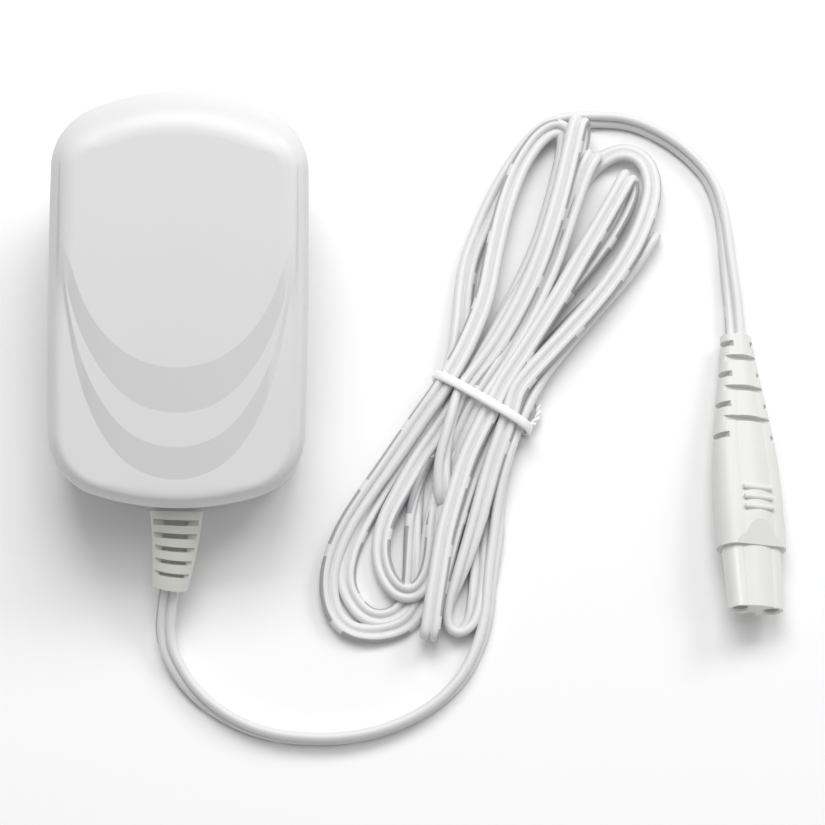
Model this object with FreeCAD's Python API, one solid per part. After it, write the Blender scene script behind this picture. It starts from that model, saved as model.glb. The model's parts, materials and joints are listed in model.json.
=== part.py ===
"""Wall-plug power adapter with a bundled twin cord and a two-hole connector.

The adapter lies face up, propped on its blade tips, as it rests on a table. Lengths are in
millimetres and angles in degrees. The housing is drawn in its own frame: X across, Y towards the
end with the blades, Z out of the front face, with the outlet face at Z = 0. It is then tipped to
its resting pose. The connector is drawn along its own Z, from the cord to the nose.
"""

import FreeCAD
import Part

import math
import os

V = FreeCAD.Vector

# Housing
HOUSING_W = 49.2
HOUSING_L = 79.0
HOUSING_T = 27.0
SPLIT_Z = 15.0
CORNER_R = 12.5
SIDE_BOW = 0.3
TOP_BOW = 2.4
BOTTOM_BOW = 1.8
EDGE_R_SIDE = 5.0
EDGE_R_TOP = 8.2
EDGE_R_BOTTOM = 5.0
REAR_TAPER = 0.6
REAR_R = 2.5
WALL = 2.2
LIP_T = 1.0
LIP_H = 1.4
LIP_GAP = 0.08
GROOVE_H = 0.2
GROOVE_DEEP = 0.15

# Crescent risers on the face, as half curves from the middle out: (x, y) from the housing centre
STEP_DROP = 0.6
RISER_1_TOP = [(0.0, -12.9), (7.6, -11.3), (14.6, -5.6), (19.4, 4.2), (21.6, 15.0)]
RISER_1_FOOT = [(0.0, -21.4), (7.6, -19.6), (14.4, -13.0), (19.8, -1.5), (22.0, 12.0)]
RISER_2_TOP = [(0.0, -27.9), (7.6, -25.9), (14.4, -18.6), (19.6, -5.2), (22.0, 11.0)]
RISER_2_FOOT = [(0.0, -34.0), (8.0, -31.7), (14.8, -23.8), (19.4, -10.4), (22.4, 6.0)]

# Blades
BLADE_PITCH = 12.7
BLADE_T = 1.5
BLADE_W = 6.35
BLADE_OUT = 16.0
BLADE_FROM_END = 14.0
BLADE_HOLE_R = 1.6
BLADE_HOLE_OUT = 11.7
BLADE_TIP_CUT = 0.4
BLADE_HEAD_W = 8.4
BLADE_HEAD_H = 1.0
BLADE_TAIL_H = 3.0
BLADE_TAIL_W = 3.4
BLOCK_WALL = 1.6

# Strain relief
RELIEF_L = 14.8
RELIEF_W0 = 10.2
RELIEF_W1 = 6.9
RELIEF_H0 = 8.0
RELIEF_H1 = 5.6
RELIEF_DROOP = 17.0
RELIEF_SWAY = 32.0
RELIEF_SLOTS = 5
RELIEF_SLOT_FIRST = 2.1
RELIEF_SLOT_PITCH = 2.43
RELIEF_SLOT_H0 = 1.1
RELIEF_SLOT_H1 = 0.85
RELIEF_WEB = 0.55
RELIEF_CORE = 1.5
RELIEF_BORE_W = 4.6
RELIEF_BORE_H = 1.9
NECK_W = 9.0
NECK_H = 6.4
FLANGE_W = 12.4
FLANGE_H = 9.4
FLANGE_T = 2.0
COLLAR_OUT = 0.6
COLLAR_W = 12.0
COLLAR_H = 9.8
FIT_GAP = 0.1

# Board and what stands on it
BOARD_GAP = 0.2
BOARD_FROM_CORD_END = 6.3
BOARD_FROM_BLADES = 7.9
BOARD_Z = 6.4
BOARD_T = 1.2
LEDGE = 3.6
POST_R = 1.6
SHEET_T = 0.4
SHEET_MARGIN = 2.5
CAN_R = 4.0
CAN_H = 12.0
CAN_GAP = 0.6
LEAD_R = 0.4
FUSE_R = 1.9
FUSE_L = 7.0
FUSE_SPAN = 10.0
FUSE_LIFT = 2.4
DIODE_R = 1.3
DIODE_L = 5.0
DIODE_SPAN = 8.6
DIODE_LIFT = 1.7
BRIDGE_W = 5.2
BRIDGE_L = 6.6
CONTROLLER_W = 5.6
CONTROLLER_L = 9.6
COUPLER_W = 5.6
COUPLER_L = 4.8
CHIP_FOOT = 0.5
CHIP_TOP = 3.9
CHIP_CHAMFER = 0.3
LEG_PITCH = 2.54
LEG_W = 0.6
LEG_T = 0.3
LEG_OUT = 0.9
LEG_Z = 2.2
FILM_W = 3.0
FILM_L = 7.2
FILM_H = 6.4
FILM_R = 0.4
DISC_R = 3.6
DISC_T = 3.4
DISC_Z = 4.8
DISC_ROUND = 1.4
DISC_LEAD_PITCH = 4.4
DISC_LEAD_H = 3.0
CHOKE_R = 3.0
CHOKE_WAIST_R = 2.5
CHOKE_H = 8.4
CHOKE_CHEEK = 1.2
CORE_W = 16.0
CORE_HALF = 7.2
CORE_T = 5.0
CORE_BACK = 2.4
CORE_LEG = 2.3
CORE_MID = 4.6
BOBBIN_H = 12.6
BOBBIN_WALL = 0.8
TAPE_T = 0.3
TAPE_W = 3.0
WIRE_R = 0.8
LEAD_SPREAD = 1.5
LEAD_INSET = 2.0
LEAD_ARCH = 3.6
CORE_PITCH = 2.0
OUTPUT_INSET = 3.4

# Places on the board, as shares of its half width from the middle and of its length from the cord end
PLACES = {
    "input_capacitors": (-0.70, 0.875), "input_choke": (0.0, 0.80), "fusible_resistor": (0.68, 0.865),
    "bridge_rectifier": (0.70, 0.705), "controller_ic": (0.68, 0.475), "optocoupler": (0.65, 0.27),
    "y_capacitor": (-0.80, 0.433), "snubber_capacitor": (-0.70, 0.238), "transformer": (-0.07, 0.465),
    "output_diode": (-0.40, 0.15), "output_capacitor": (0.31, 0.14),
}

# Cord, and the route of its two loose stretches as it lies on the table
CORD_R = 1.35
LEAD_STRAIGHT = 6.0
LEAD_ROUTE = [(-0.9, -58.6, 3.6), (3.6, -65.3, 2.9), (10.7, -70.4, 2.5),
              (18.4, -73.3, 2.3), (27.9, -74.0, 1.9), (35.7, -73.2, 1.6), (43.3, -70.8, 1.5),
              (50.6, -66.4, 1.4), (56.0, -60.2, 1.6), (59.3, -51.4, 2.0), (59.7, -42.4, 2.8)]
TAIL_ROUTE = [(73.2, 40.6, 4.4), (74.6, 47.2, 4.0), (79.8, 51.2, 3.2), (86.2, 51.0, 2.4),
              (92.3, 48.5, 1.8), (98.2, 44.3, 1.4), (102.9, 38.8, 1.4), (105.0, 31.6, 1.5),
              (105.8, 23.0, 1.9), (106.8, 14.5, 2.4)]

# Hank, by its cross-sections along its length: (along, left edge, right edge, foot, top)
HANK_FOOT = (29.47, -54.72)
HANK_HEAD = (78.80, 51.02)
HANK_SECTIONS = [(1.0, 0.6, 6.0, 0.6, 4.6), (6.0, -5.2, 14.6, 0.3, 7.3), (13.5, -7.6, 22.6, 0.2, 8.2),
                 (23.0, -7.9, 23.4, 0.2, 8.2), (37.0, -5.8, 18.4, 0.6, 8.6), (51.0, -3.3, 15.4, 1.2, 8.8),
                 (58.5, -3.3, 15.4, 1.2, 8.8), (72.0, -6.6, 14.0, 0.7, 9.0), (88.0, -9.2, 18.2, 0.2, 9.2),
                 (102.0, -9.4, 19.6, 0.2, 9.2), (110.5, -7.4, 15.6, 0.3, 8.3), (115.6, -2.6, 4.4, 0.6, 4.6)]

# Tie
TIE_ALONG = 54.7
TIE_BAND = 1.7
TIE_T = 0.9
TIE_GAP = 0.25
TIE_END_R = 0.5

# Connector
CONN_FOOT = (107.3, 6.5)
CONN_HEADING = -3.5
CONN_PITCH = 4.5
CONN_ROLL = 25.0
CONN_LIFT = 0.02
CONN_SECTIONS = [(0.0, 6.3, 5.2), (12.0, 9.7, 6.3), (24.0, 13.1, 7.9), (35.0, 14.2, 9.0), (43.4, 14.2, 9.0)]
CONN_CROWN = 0.12
SLOT_PITCH = 6.4
FRONT_SLOT_FIRST = 5.0
FRONT_SLOTS = 3
SIDE_SLOT_FIRST = 2.0
SIDE_SLOTS = 4
SLOT_H = 1.2
SLOT_DEEP = 1.70
RIDGES = 3
RIDGE_FIRST = 32.1
RIDGE_PITCH = 2.0
RIDGE_L = 6.2
RIDGE_R = 0.55
RIDGE_OUT = 0.35
FACET_FROM = 38.6
FACET_DEEP = 1.1
NOSE_L = 12.1
NOSE_IN = 8.0
NOSE_W0 = 12.3
NOSE_W1 = 11.3
NOSE_H0 = 6.4
NOSE_H1 = 6.0
SOCKET_PITCH = 6.6
SOCKET_R = 1.5
SOCKET_DEEP = 9.4
SOCKET_MOUTH = 0.35
SLEEVE_R = 1.15
SLEEVE_L = 6.0
SLEEVE_BACK = 2.6
SLEEVE_SLIT = 0.4
NOTCH_R = 1.25
NOTCH_DEEP = 1.5

NODES = {}


def box(x0, x1, y0, y1, z0, z1):
    """A box between two corners."""
    return Part.makeBox(x1 - x0, y1 - y0, z1 - z0, V(x0, y0, z0))


def bowed_core(width, length, corner, side, low, high):
    """Sharp outline of four shallow arcs, a corner radius inside the finished outline."""
    x = width / 2 - corner - side
    y0 = -(length / 2 - corner - low)
    y1 = length / 2 - corner - high
    points = [V(-x, y0), V(x, y0), V(x, y1), V(-x, y1)]
    middles = [V(0, corner - length / 2), V(width / 2 - corner, 0),
               V(0, length / 2 - corner), V(corner - width / 2, 0)]
    return Part.Wire([Part.Arc(points[i], middles[i], points[(i + 1) % 4]).toShape() for i in range(4)])


def housing_outline(inset, z):
    """The housing's plan outline, moved inwards by inset, at height z."""
    core = bowed_core(HOUSING_W, HOUSING_L, CORNER_R, SIDE_BOW, BOTTOM_BOW, TOP_BOW)
    wire = core.makeOffset2D(CORNER_R - inset)
    wire.translate(V(0, 0, z))
    return wire


def prism(wire, height):
    """A wire's face, raised along Z."""
    return Part.Face(wire).extrude(V(0, 0, height))


def oval(width, height):
    """A crowned section of the connector, in the XY plane."""
    crown = CONN_CROWN * height
    corner = (0.48 - CONN_CROWN) * height
    return bowed_core(width, height, corner, crown, crown, crown).makeOffset2D(corner)


def rounded_box(width, length, height, radius, base):
    """A box centred on base, standing up from it, with its upright edges rounded."""
    block = box(-width / 2, width / 2, -length / 2, length / 2, 0, height)
    upright = [e for e in block.Edges if abs(e.Vertexes[0].Z - e.Vertexes[-1].Z) > height / 2]
    block = block.makeFillet(radius, upright)
    block.translate(base)
    return block


def bent_tube(points, radius, trim=0.45):
    """A tube along straight runs joined by tangent arcs, and the arcs' radii."""
    edges, radii, start = [], [], points[0]
    for before, at, after in zip(points, points[1:], points[2:]):
        back, ahead = (before - at).normalize(), (after - at).normalize()
        half_turn = (math.pi - back.getAngle(ahead)) / 2
        reach = trim * min(before.distanceToPoint(at), at.distanceToPoint(after))
        bend = reach / math.tan(half_turn)
        enter, leave = at + back * reach, at + ahead * reach
        inwards = (back + ahead).normalize()
        middle = at + inwards * (bend / math.cos(half_turn) - bend)
        edges += [Part.LineSegment(start, enter).toShape(), Part.Arc(enter, middle, leave).toShape()]
        radii.append(bend)
        start = leave
    edges.append(Part.LineSegment(start, points[-1]).toShape())
    path = Part.Wire(edges)
    ring = Part.Wire([Part.Circle(points[0], points[1] - points[0], radius).toShape()])
    return path.makePipeShell([ring], True, False), radii, path.Length


def add(name, shape, place=None):
    """Keeps a finished sub-part under its name, set in its place."""
    shape = shape.removeSplitter() if shape.ShapeType != "Compound" else shape
    if place:
        shape = shape.copy()
        shape.Placement = place.multiply(shape.Placement)
    NODES[name] = shape


# Resting pose of the housing

def rest_tilt():
    """The housing's tilt when its blade tips and its lower back edge both touch the table."""
    tips = HOUSING_L / 2 - BLADE_FROM_END - BLADE_W / 2 + BLADE_TIP_CUT
    along = tips + HOUSING_L / 2 - REAR_TAPER - REAR_R
    up = BLADE_OUT + REAR_R
    return math.degrees(math.atan2(up, along) - math.asin(REAR_R / math.hypot(along, up)))


def rest_placement(tilt, shift=None):
    """Tips the housing about X and lifts it on to the table."""
    angle = math.radians(tilt)
    back = HOUSING_L / 2 - REAR_TAPER - REAR_R
    lift = back * math.sin(angle) - REAR_R * math.cos(angle) + REAR_R
    place = FreeCAD.Placement(V(0, 0, lift), FreeCAD.Rotation(V(1, 0, 0), tilt))
    if shift:
        place.Base = place.Base + shift
    return place


# Housing shells

def edge_radius(point, reduce):
    """The front edge's rounding at one of the outline's joints."""
    if abs(point.x) > HOUSING_W / 2 - CORNER_R / 2:
        return EDGE_R_SIDE - reduce
    return (EDGE_R_TOP if point.y > 0 else EDGE_R_BOTTOM) - reduce


def crowned_prism(inset, z0, z1, reduce):
    """A prism on the housing's outline whose front edge rounding differs from side to side.

    Each radius pair is given for an edge's last joint first, because the rounding runs against
    the edges of the prism's top.
    """
    solid = prism(housing_outline(inset, z0), z1 - z0)
    radii = []
    for number, edge in enumerate(solid.Edges, 1):
        ends = [vertex.Point for vertex in edge.Vertexes]
        if min(point.z for point in ends) > z1 - 0.001:
            radii.append((number, edge_radius(ends[-1], reduce), edge_radius(ends[0], reduce)))
    document = FreeCAD.newDocument()
    base = document.addObject("Part::Feature", "Base")
    base.Shape = solid
    fillet = document.addObject("Part::Fillet", "Rounded")
    fillet.Base = base
    fillet.Edges = radii
    document.recompute()
    result = fillet.Shape.copy()
    FreeCAD.closeDocument(document.Name)
    return result


def below_curve(half_curve, z):
    """The part of the plane below a symmetrical crescent edge, as a closed wire."""
    points = [V(-x, y, z) for x, y in reversed(half_curve[1:])] + [V(x, y, z) for x, y in half_curve]
    spline = Part.BSplineCurve()
    spline.interpolate(points)
    reach_x, top, low = HOUSING_W, half_curve[-1][1] + HOUSING_L / 2, -HOUSING_L
    left, right = points[0], points[-1]
    corners = [right, V(right.x, top, z), V(reach_x, top, z), V(reach_x, low, z),
               V(-reach_x, low, z), V(-reach_x, top, z), V(left.x, top, z), left]
    sides = [Part.LineSegment(a, b).toShape() for a, b in zip(corners, corners[1:])]
    return Part.Wire([spline.toShape()] + sides)


def riser_cut(top_curve, foot_curve, z):
    """What a crescent riser takes off the face, from height z down by one step.

    The slope is carried on past the face, so that no seam of it lies in the step above.
    """
    share = (HOUSING_T + STEP_DROP / 2 - z) / STEP_DROP
    carried = [(top_x + (top_x - foot_x) * share, top_y + (top_y - foot_y) * share)
               for (top_x, top_y), (foot_x, foot_y) in zip(top_curve, foot_curve)]
    low, high = below_curve(foot_curve, z - STEP_DROP), below_curve(carried, z + STEP_DROP * share)
    return Part.makeLoft([low, high], True, True)


def parting_groove():
    """The fine groove that the two shells' outer edges leave between them."""
    z = SPLIT_Z - GROOVE_H / 2
    ring = prism(housing_outline(-GROOVE_DEEP, z), GROOVE_H)
    ring = ring.cut(prism(housing_outline(GROOVE_DEEP, z), GROOVE_H))
    return ring.cut(box(-COLLAR_W / 2, COLLAR_W / 2, -HOUSING_L, 0, 0, HOUSING_T))


def relief_collar():
    """The low drafted collar that the strain relief comes out of."""
    base_y = -HOUSING_L / 2 + WALL / 2
    wires = []
    for y, spread in ((base_y, 0.0), (-HOUSING_L / 2 - COLLAR_OUT, 0.5)):
        half_w, half_h = COLLAR_W / 2 - spread, COLLAR_H / 2 - spread
        wires.append(Part.makePolygon([V(x, y, SPLIT_Z + z) for x, z in
                                       ((-half_w, -half_h), (half_w, -half_h), (half_w, half_h),
                                        (-half_w, half_h), (-half_w, -half_h))]))
    block = Part.makeLoft(wires, True, True)
    lengthwise = [e for e in block.Edges if abs(e.Vertexes[0].Y - e.Vertexes[-1].Y) > WALL / 2]
    return block.makeFillet(2.4, lengthwise)


def relief_opening():
    """The hole through the end wall that holds the strain relief's neck."""
    half_w, half_h = NECK_W / 2 + FIT_GAP, NECK_H / 2 + FIT_GAP
    return box(-half_w, half_w, -HOUSING_L / 2 - 2 * COLLAR_OUT, -HOUSING_L / 2 + 2 * WALL,
               SPLIT_Z - half_h, SPLIT_Z + half_h)


def relief_keeper(z0, z1):
    """A rib that traps the strain relief's flange, notched for the cord."""
    y0 = -HOUSING_L / 2 + WALL + FLANGE_T + FIT_GAP
    rib = box(-FLANGE_W / 2, FLANGE_W / 2, y0, y0 + 1.2, z0, z1)
    return rib.cut(box(-3.2, 3.2, y0 - 1, y0 + 3, SPLIT_Z - 2.6, SPLIT_Z + 2.6))


def board_edges():
    """The board's half width and the places of its two ends."""
    half = HOUSING_W / 2 - SIDE_BOW - REAR_TAPER - WALL - BOARD_GAP
    return half, BOARD_FROM_CORD_END - HOUSING_L / 2, HOUSING_L / 2 - BLADE_FROM_END - BOARD_FROM_BLADES


def hold_down_spots():
    """Where the board is held, as points in plan."""
    half, _, far_end = board_edges()
    low = CORNER_R + BOTTOM_BOW - HOUSING_L / 2
    x = half - LEDGE / 2
    return [V(side * x, y, 0) for side in (-1, 1) for y in (low, far_end - LEDGE / 2)]


def front_shell():
    """The front half: rounded unevenly, stepped by two crescents, lipped and ribbed inside."""
    outer = crowned_prism(0, SPLIT_Z, HOUSING_T, 0)
    outer = outer.cut(riser_cut(RISER_1_TOP, RISER_1_FOOT, HOUSING_T))
    outer = outer.cut(riser_cut(RISER_2_TOP, RISER_2_FOOT, HOUSING_T - STEP_DROP))
    outer = outer.fuse(relief_collar().common(box(-HOUSING_W, HOUSING_W, -HOUSING_L, 0, SPLIT_Z, HOUSING_T)))
    ceiling = HOUSING_T - 2 * STEP_DROP - WALL
    cavity = crowned_prism(WALL, SPLIT_Z, ceiling, WALL + 2 * STEP_DROP)
    shell = outer.cut(cavity)
    lip = prism(housing_outline(WALL - LIP_T, SPLIT_Z - LIP_H), LIP_H + WALL)
    lip = lip.cut(prism(housing_outline(WALL, SPLIT_Z - LIP_H), LIP_H + WALL))
    shell = shell.fuse(lip)
    for spot in hold_down_spots():
        foot = BOARD_Z + BOARD_T
        post = Part.makeCylinder(POST_R, ceiling + WALL / 2 - foot, spot + V(0, 0, foot))
        inside = prism(housing_outline(WALL / 2, foot - 1), HOUSING_T)
        shell = shell.fuse(post.common(inside))
    shell = shell.fuse(relief_keeper(SPLIT_Z + FIT_GAP, ceiling + STEP_DROP / 3))
    return shell.cut(relief_opening()).cut(parting_groove())


def blade_profile(grow=0.0):
    """One blade's side outline, as a plate across X."""
    half_w, half_tail, half_head = BLADE_W / 2 + grow, BLADE_TAIL_W / 2 + grow, BLADE_HEAD_W / 2 + grow
    plate = box(-BLADE_T / 2 - grow, BLADE_T / 2 + grow, -half_w, half_w, -BLADE_OUT, WALL)
    head = box(-BLADE_T / 2 - grow, BLADE_T / 2 + grow, -half_head, half_head, WALL - BLADE_HEAD_H, WALL)
    tail = box(-BLADE_T / 2 - grow, BLADE_T / 2 + grow, -half_tail, half_tail, WALL, WALL + BLADE_TAIL_H)
    return plate.fuse([head, tail])


def blade():
    """A fixed blade: chamfered tip, cross hole, buried head and a narrow tail for its wire."""
    solid = blade_profile().removeSplitter()
    tip = [e for e in solid.Edges if max(v.Z for v in e.Vertexes) < -BLADE_OUT + 0.01]
    solid = solid.makeChamfer(BLADE_TIP_CUT, tip)
    hole = Part.makeCylinder(BLADE_HOLE_R, 4 * BLADE_T, V(-2 * BLADE_T, 0, -BLADE_HOLE_OUT), V(1, 0, 0))
    return solid.cut(hole)


def blade_spot(side):
    """Where a blade stands on the outlet face."""
    return V(side * BLADE_PITCH / 2, HOUSING_L / 2 - BLADE_FROM_END, 0)


def rear_shell():
    """The rear half: tapered walls, rebate for the lip, ledges, blade blocks and relief seat."""
    outer = Part.makeLoft([housing_outline(REAR_TAPER, 0), housing_outline(0, SPLIT_Z)], True, True)
    outer = outer.makeFillet(REAR_R, [e for e in outer.Edges if max(v.Z for v in e.Vertexes) < 0.01])
    outer = outer.fuse(relief_collar().common(box(-HOUSING_W, HOUSING_W, -HOUSING_L, 0, 0, SPLIT_Z)))
    outlines = [housing_outline(WALL + REAR_TAPER, WALL), housing_outline(WALL, SPLIT_Z)]
    cavity = Part.makeLoft(outlines, True, True)
    shell = outer.cut(cavity)
    rebate = LIP_H + LIP_GAP
    shell = shell.cut(prism(housing_outline(WALL - LIP_T - LIP_GAP, SPLIT_Z - rebate), rebate))
    inside = prism(housing_outline(WALL / 2 + REAR_TAPER, 0), SPLIT_Z)
    for spot in hold_down_spots():
        ledge = box(-LEDGE / 2, LEDGE, -LEDGE / 2, LEDGE / 2, WALL / 2, BOARD_Z)
        if spot.x < 0:
            ledge = ledge.mirror(V(0, 0, 0), V(1, 0, 0))
        ledge.translate(spot)
        shell = shell.fuse(ledge.common(inside))
    for side in (-1, 1):
        block = box(-BLADE_T / 2 - BLOCK_WALL, BLADE_T / 2 + BLOCK_WALL, -BLADE_HEAD_W / 2 - BLOCK_WALL,
                    BLADE_HEAD_W / 2 + BLOCK_WALL, WALL / 2, WALL + BLADE_TAIL_H / 3)
        block.translate(blade_spot(side))
        socket = blade_profile()
        socket.translate(blade_spot(side))
        shell = shell.fuse(block).cut(socket)
    shell = shell.fuse(relief_keeper(WALL / 2, SPLIT_Z - FIT_GAP))
    return shell.cut(relief_opening()).cut(parting_groove())


# Strain relief

def relief_frame(distance):
    """The sleeve's local frame at a distance along its drooping centre line."""
    bend = RELIEF_L / math.radians(RELIEF_DROOP)
    angle = distance / bend
    sway = math.radians(RELIEF_SWAY)
    off = V(-math.sin(sway), 0, -math.cos(sway))
    start = V(0, -HOUSING_L / 2 - COLLAR_OUT, SPLIT_Z)
    centre = start + V(0, -1, 0) * (bend * math.sin(angle)) + off * (bend * (1 - math.cos(angle)))
    along = V(0, -1, 0) * math.cos(angle) + off * math.sin(angle)
    across = V(1, 0, 0) - along * along.x
    across.normalize()
    return FreeCAD.Placement(centre, FreeCAD.Rotation(across, along.cross(across), along, "ZXY"))


def relief_size(distance):
    """The sleeve's width and height there."""
    share = distance / RELIEF_L
    return RELIEF_W0 + (RELIEF_W1 - RELIEF_W0) * share, RELIEF_H0 + (RELIEF_H1 - RELIEF_H0) * share


def relief_section(distance):
    """The sleeve's elliptical cross-section there."""
    width, height = relief_size(distance)
    wire = Part.Wire([Part.Ellipse(V(0, 0, 0), width / 2, height / 2).toShape()])
    wire.Placement = relief_frame(distance)
    return wire


def relief_slot(number):
    """One pair of slots, front and back, with a deeper pocket over the cord."""
    share = number / (RELIEF_SLOTS - 1)
    distance = RELIEF_SLOT_FIRST + number * RELIEF_SLOT_PITCH
    height = RELIEF_SLOT_H0 + (RELIEF_SLOT_H1 - RELIEF_SLOT_H0) * share
    width = relief_size(distance)[0] / 2 - RELIEF_WEB
    cuts = []
    for side in (-1, 1):
        low, high = sorted((side * RELIEF_CORE, side * RELIEF_H0))
        cuts.append(box(-width, width, low, high, -height / 2, height / 2))
        low, high = sorted((side * RELIEF_BORE_H / 2, side * RELIEF_H0))
        cuts.append(box(-RELIEF_BORE_W / 2, RELIEF_BORE_W / 2, low, high, -height / 2, height / 2))
    tool = cuts[0].fuse(cuts[1:])
    tool.Placement = relief_frame(distance)
    return tool


def strain_relief():
    """The slotted sleeve with the neck and flange that the two shells trap."""
    sleeve = Part.makeLoft([relief_section(RELIEF_L * k / 4) for k in range(5)], True, False)
    for number in range(RELIEF_SLOTS):
        sleeve = sleeve.cut(relief_slot(number))
    wall_in = -HOUSING_L / 2 + WALL
    neck = box(-NECK_W / 2, NECK_W / 2, -HOUSING_L / 2 - COLLAR_OUT, wall_in + FLANGE_T,
               SPLIT_Z - NECK_H / 2, SPLIT_Z + NECK_H / 2)
    flange = box(-FLANGE_W / 2, FLANGE_W / 2, wall_in - WALL, wall_in + FLANGE_T, SPLIT_Z - FLANGE_H / 2,
                 SPLIT_Z + FLANGE_H / 2)
    flange = flange.common(prism(housing_outline(WALL + REAR_TAPER / 2, 0), HOUSING_T))
    return sleeve.fuse([neck, flange])


# Board and components

def on_board(x, y, lift=0.0):
    """A point on the board's component side."""
    return V(x, y, BOARD_Z + BOARD_T + lift)


def place_of(name):
    """A part's place in plan, from its shares of the board."""
    half, near_end, far_end = board_edges()
    across, along = PLACES[name]
    return across * half, near_end + along * (far_end - near_end)


def circuit_board():
    """The board, which follows the housing's outline at its cord end."""
    half, near_end, far_end = board_edges()
    plate = prism(housing_outline(WALL + REAR_TAPER + BOARD_GAP, BOARD_Z), BOARD_T)
    return plate.common(box(-half, half, near_end, far_end, BOARD_Z, BOARD_Z + BOARD_T))


def insulation_sheet():
    """The fibre sheet between the solder side and the outlet wall."""
    half, near_end, far_end = board_edges()
    half -= LEDGE + SHEET_MARGIN / 2
    sheet = box(-half, half, near_end + SHEET_MARGIN, far_end - SHEET_MARGIN, WALL, WALL + SHEET_T)
    upright = [e for e in sheet.Edges if abs(e.Vertexes[0].Z - e.Vertexes[-1].Z) > SHEET_T / 2]
    return sheet.makeFillet(SHEET_MARGIN, upright)


def capacitor_can(x, y):
    """An upright electrolytic can, rolled in above its seal."""
    profile = [(0, 0), (CAN_R - 0.3, 0), (CAN_R, 0.3), (CAN_R, 1.6), (CAN_R - 0.35, 2.1), (CAN_R, 2.6),
               (CAN_R, CAN_H - 0.5), (CAN_R - 0.5, CAN_H), (0, CAN_H)]
    points = [V(r, 0, z) for r, z in profile]
    face = Part.Face(Part.makePolygon(points + points[:1]))
    can = face.revolve(V(0, 0, 0), V(0, 0, 1), 360)
    can.translate(on_board(x, y))
    return can


def choke(x, y):
    """An upright drum choke in its shrink sleeve."""
    step, high = CHOKE_R - CHOKE_WAIST_R, CHOKE_H - CHOKE_CHEEK
    profile = [(0, 0), (CHOKE_R, 0), (CHOKE_R, CHOKE_CHEEK), (CHOKE_WAIST_R, CHOKE_CHEEK + step),
               (CHOKE_WAIST_R, high - step), (CHOKE_R, high), (CHOKE_R, CHOKE_H), (0, CHOKE_H)]
    points = [V(r, 0, z) for r, z in profile]
    drum = Part.Face(Part.makePolygon(points + points[:1])).revolve(V(0, 0, 0), V(0, 0, 1), 360)
    drum.translate(on_board(x, y))
    return drum


def axial_part(x, y, body_r, body_l, span, lift):
    """A part lying along X with its two leads bent down to the board."""
    centre = on_board(x, y, lift)
    body = Part.makeCylinder(body_r, body_l, centre - V(body_l / 2, 0, 0), V(1, 0, 0))
    body = body.makeFillet(body_r * 0.3, [e for e in body.Edges if e.Closed and len(e.Vertexes) == 1])
    half = span / 2
    for side in (-1, 1):
        points = [centre + V(side * (body_l / 2 - 0.5), 0, 0), centre + V(side * half, 0, 0),
                  centre + V(side * half, 0, -lift)]
        body = body.fuse(bent_tube(points, LEAD_R)[0])
    return body


def chip(x, y, width, length, legs):
    """A moulded package with a row of legs down each side."""
    body = box(-width / 2, width / 2, -length / 2, length / 2, CHIP_FOOT, CHIP_TOP)
    upper = [e for e in body.Edges if min(v.Z for v in e.Vertexes) > CHIP_TOP - 0.1]
    body = body.makeChamfer(CHIP_CHAMFER, upper)
    for row in (-1, 1):
        for number in range(legs):
            at = (number - (legs - 1) / 2) * LEG_PITCH
            x0, x1 = sorted((row * width / 2, row * (width / 2 + LEG_OUT)))
            foot0, foot1 = sorted((row * (width / 2 + LEG_OUT - LEG_T), row * (width / 2 + LEG_OUT)))
            body = body.fuse([box(x0, x1, at - LEG_W / 2, at + LEG_W / 2, LEG_Z - LEG_T, LEG_Z),
                              box(foot0, foot1, at - LEG_W / 2, at + LEG_W / 2, 0, LEG_Z)])
    body.translate(on_board(x, y))
    return body


def disc_capacitor(x, y):
    """A dipped disc standing on its two leads."""
    disc = Part.makeCylinder(DISC_R, DISC_T, V(-DISC_T / 2, 0, DISC_Z), V(1, 0, 0))
    disc = disc.makeFillet(DISC_ROUND, [e for e in disc.Edges if e.Closed and len(e.Vertexes) == 1])
    leads = [Part.makeCylinder(LEAD_R, DISC_LEAD_H, V(0, side * DISC_LEAD_PITCH / 2, 0)) for side in (-1, 1)]
    disc = disc.fuse(leads)
    disc.translate(on_board(x, y))
    return disc


def box_capacitor(x, y):
    """A film capacitor in its box."""
    return rounded_box(FILM_W, FILM_L, FILM_H, FILM_R, on_board(x, y))


def core_half(side):
    """One E half of the transformer core; side tells which way its back faces."""
    depth = CORE_HALF - CORE_BACK
    half = box(-CORE_W / 2, CORE_W / 2, 0, CORE_HALF, -CORE_T / 2, CORE_T / 2)
    for window in (-1, 1):
        x0, x1 = sorted((window * CORE_MID / 2, window * (CORE_W / 2 - CORE_LEG)))
        half = half.cut(box(x0, x1, -1, depth, -CORE_T, CORE_T))
    if side < 0:
        half = half.mirror(V(0, 0, 0), V(0, 1, 0))
    half.translate(on_board(*place_of("transformer"), BOBBIN_H / 2))
    return half


def bobbin_frame():
    """The bobbin's window width and length, and its tube's outer half sizes."""
    width = CORE_W - 2 * CORE_LEG - 2 * FIT_GAP
    length = 2 * (CORE_HALF - CORE_BACK) - 2 * FIT_GAP
    return width, length, CORE_MID / 2 + FIT_GAP + BOBBIN_WALL, CORE_T / 2 + FIT_GAP + BOBBIN_WALL


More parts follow.
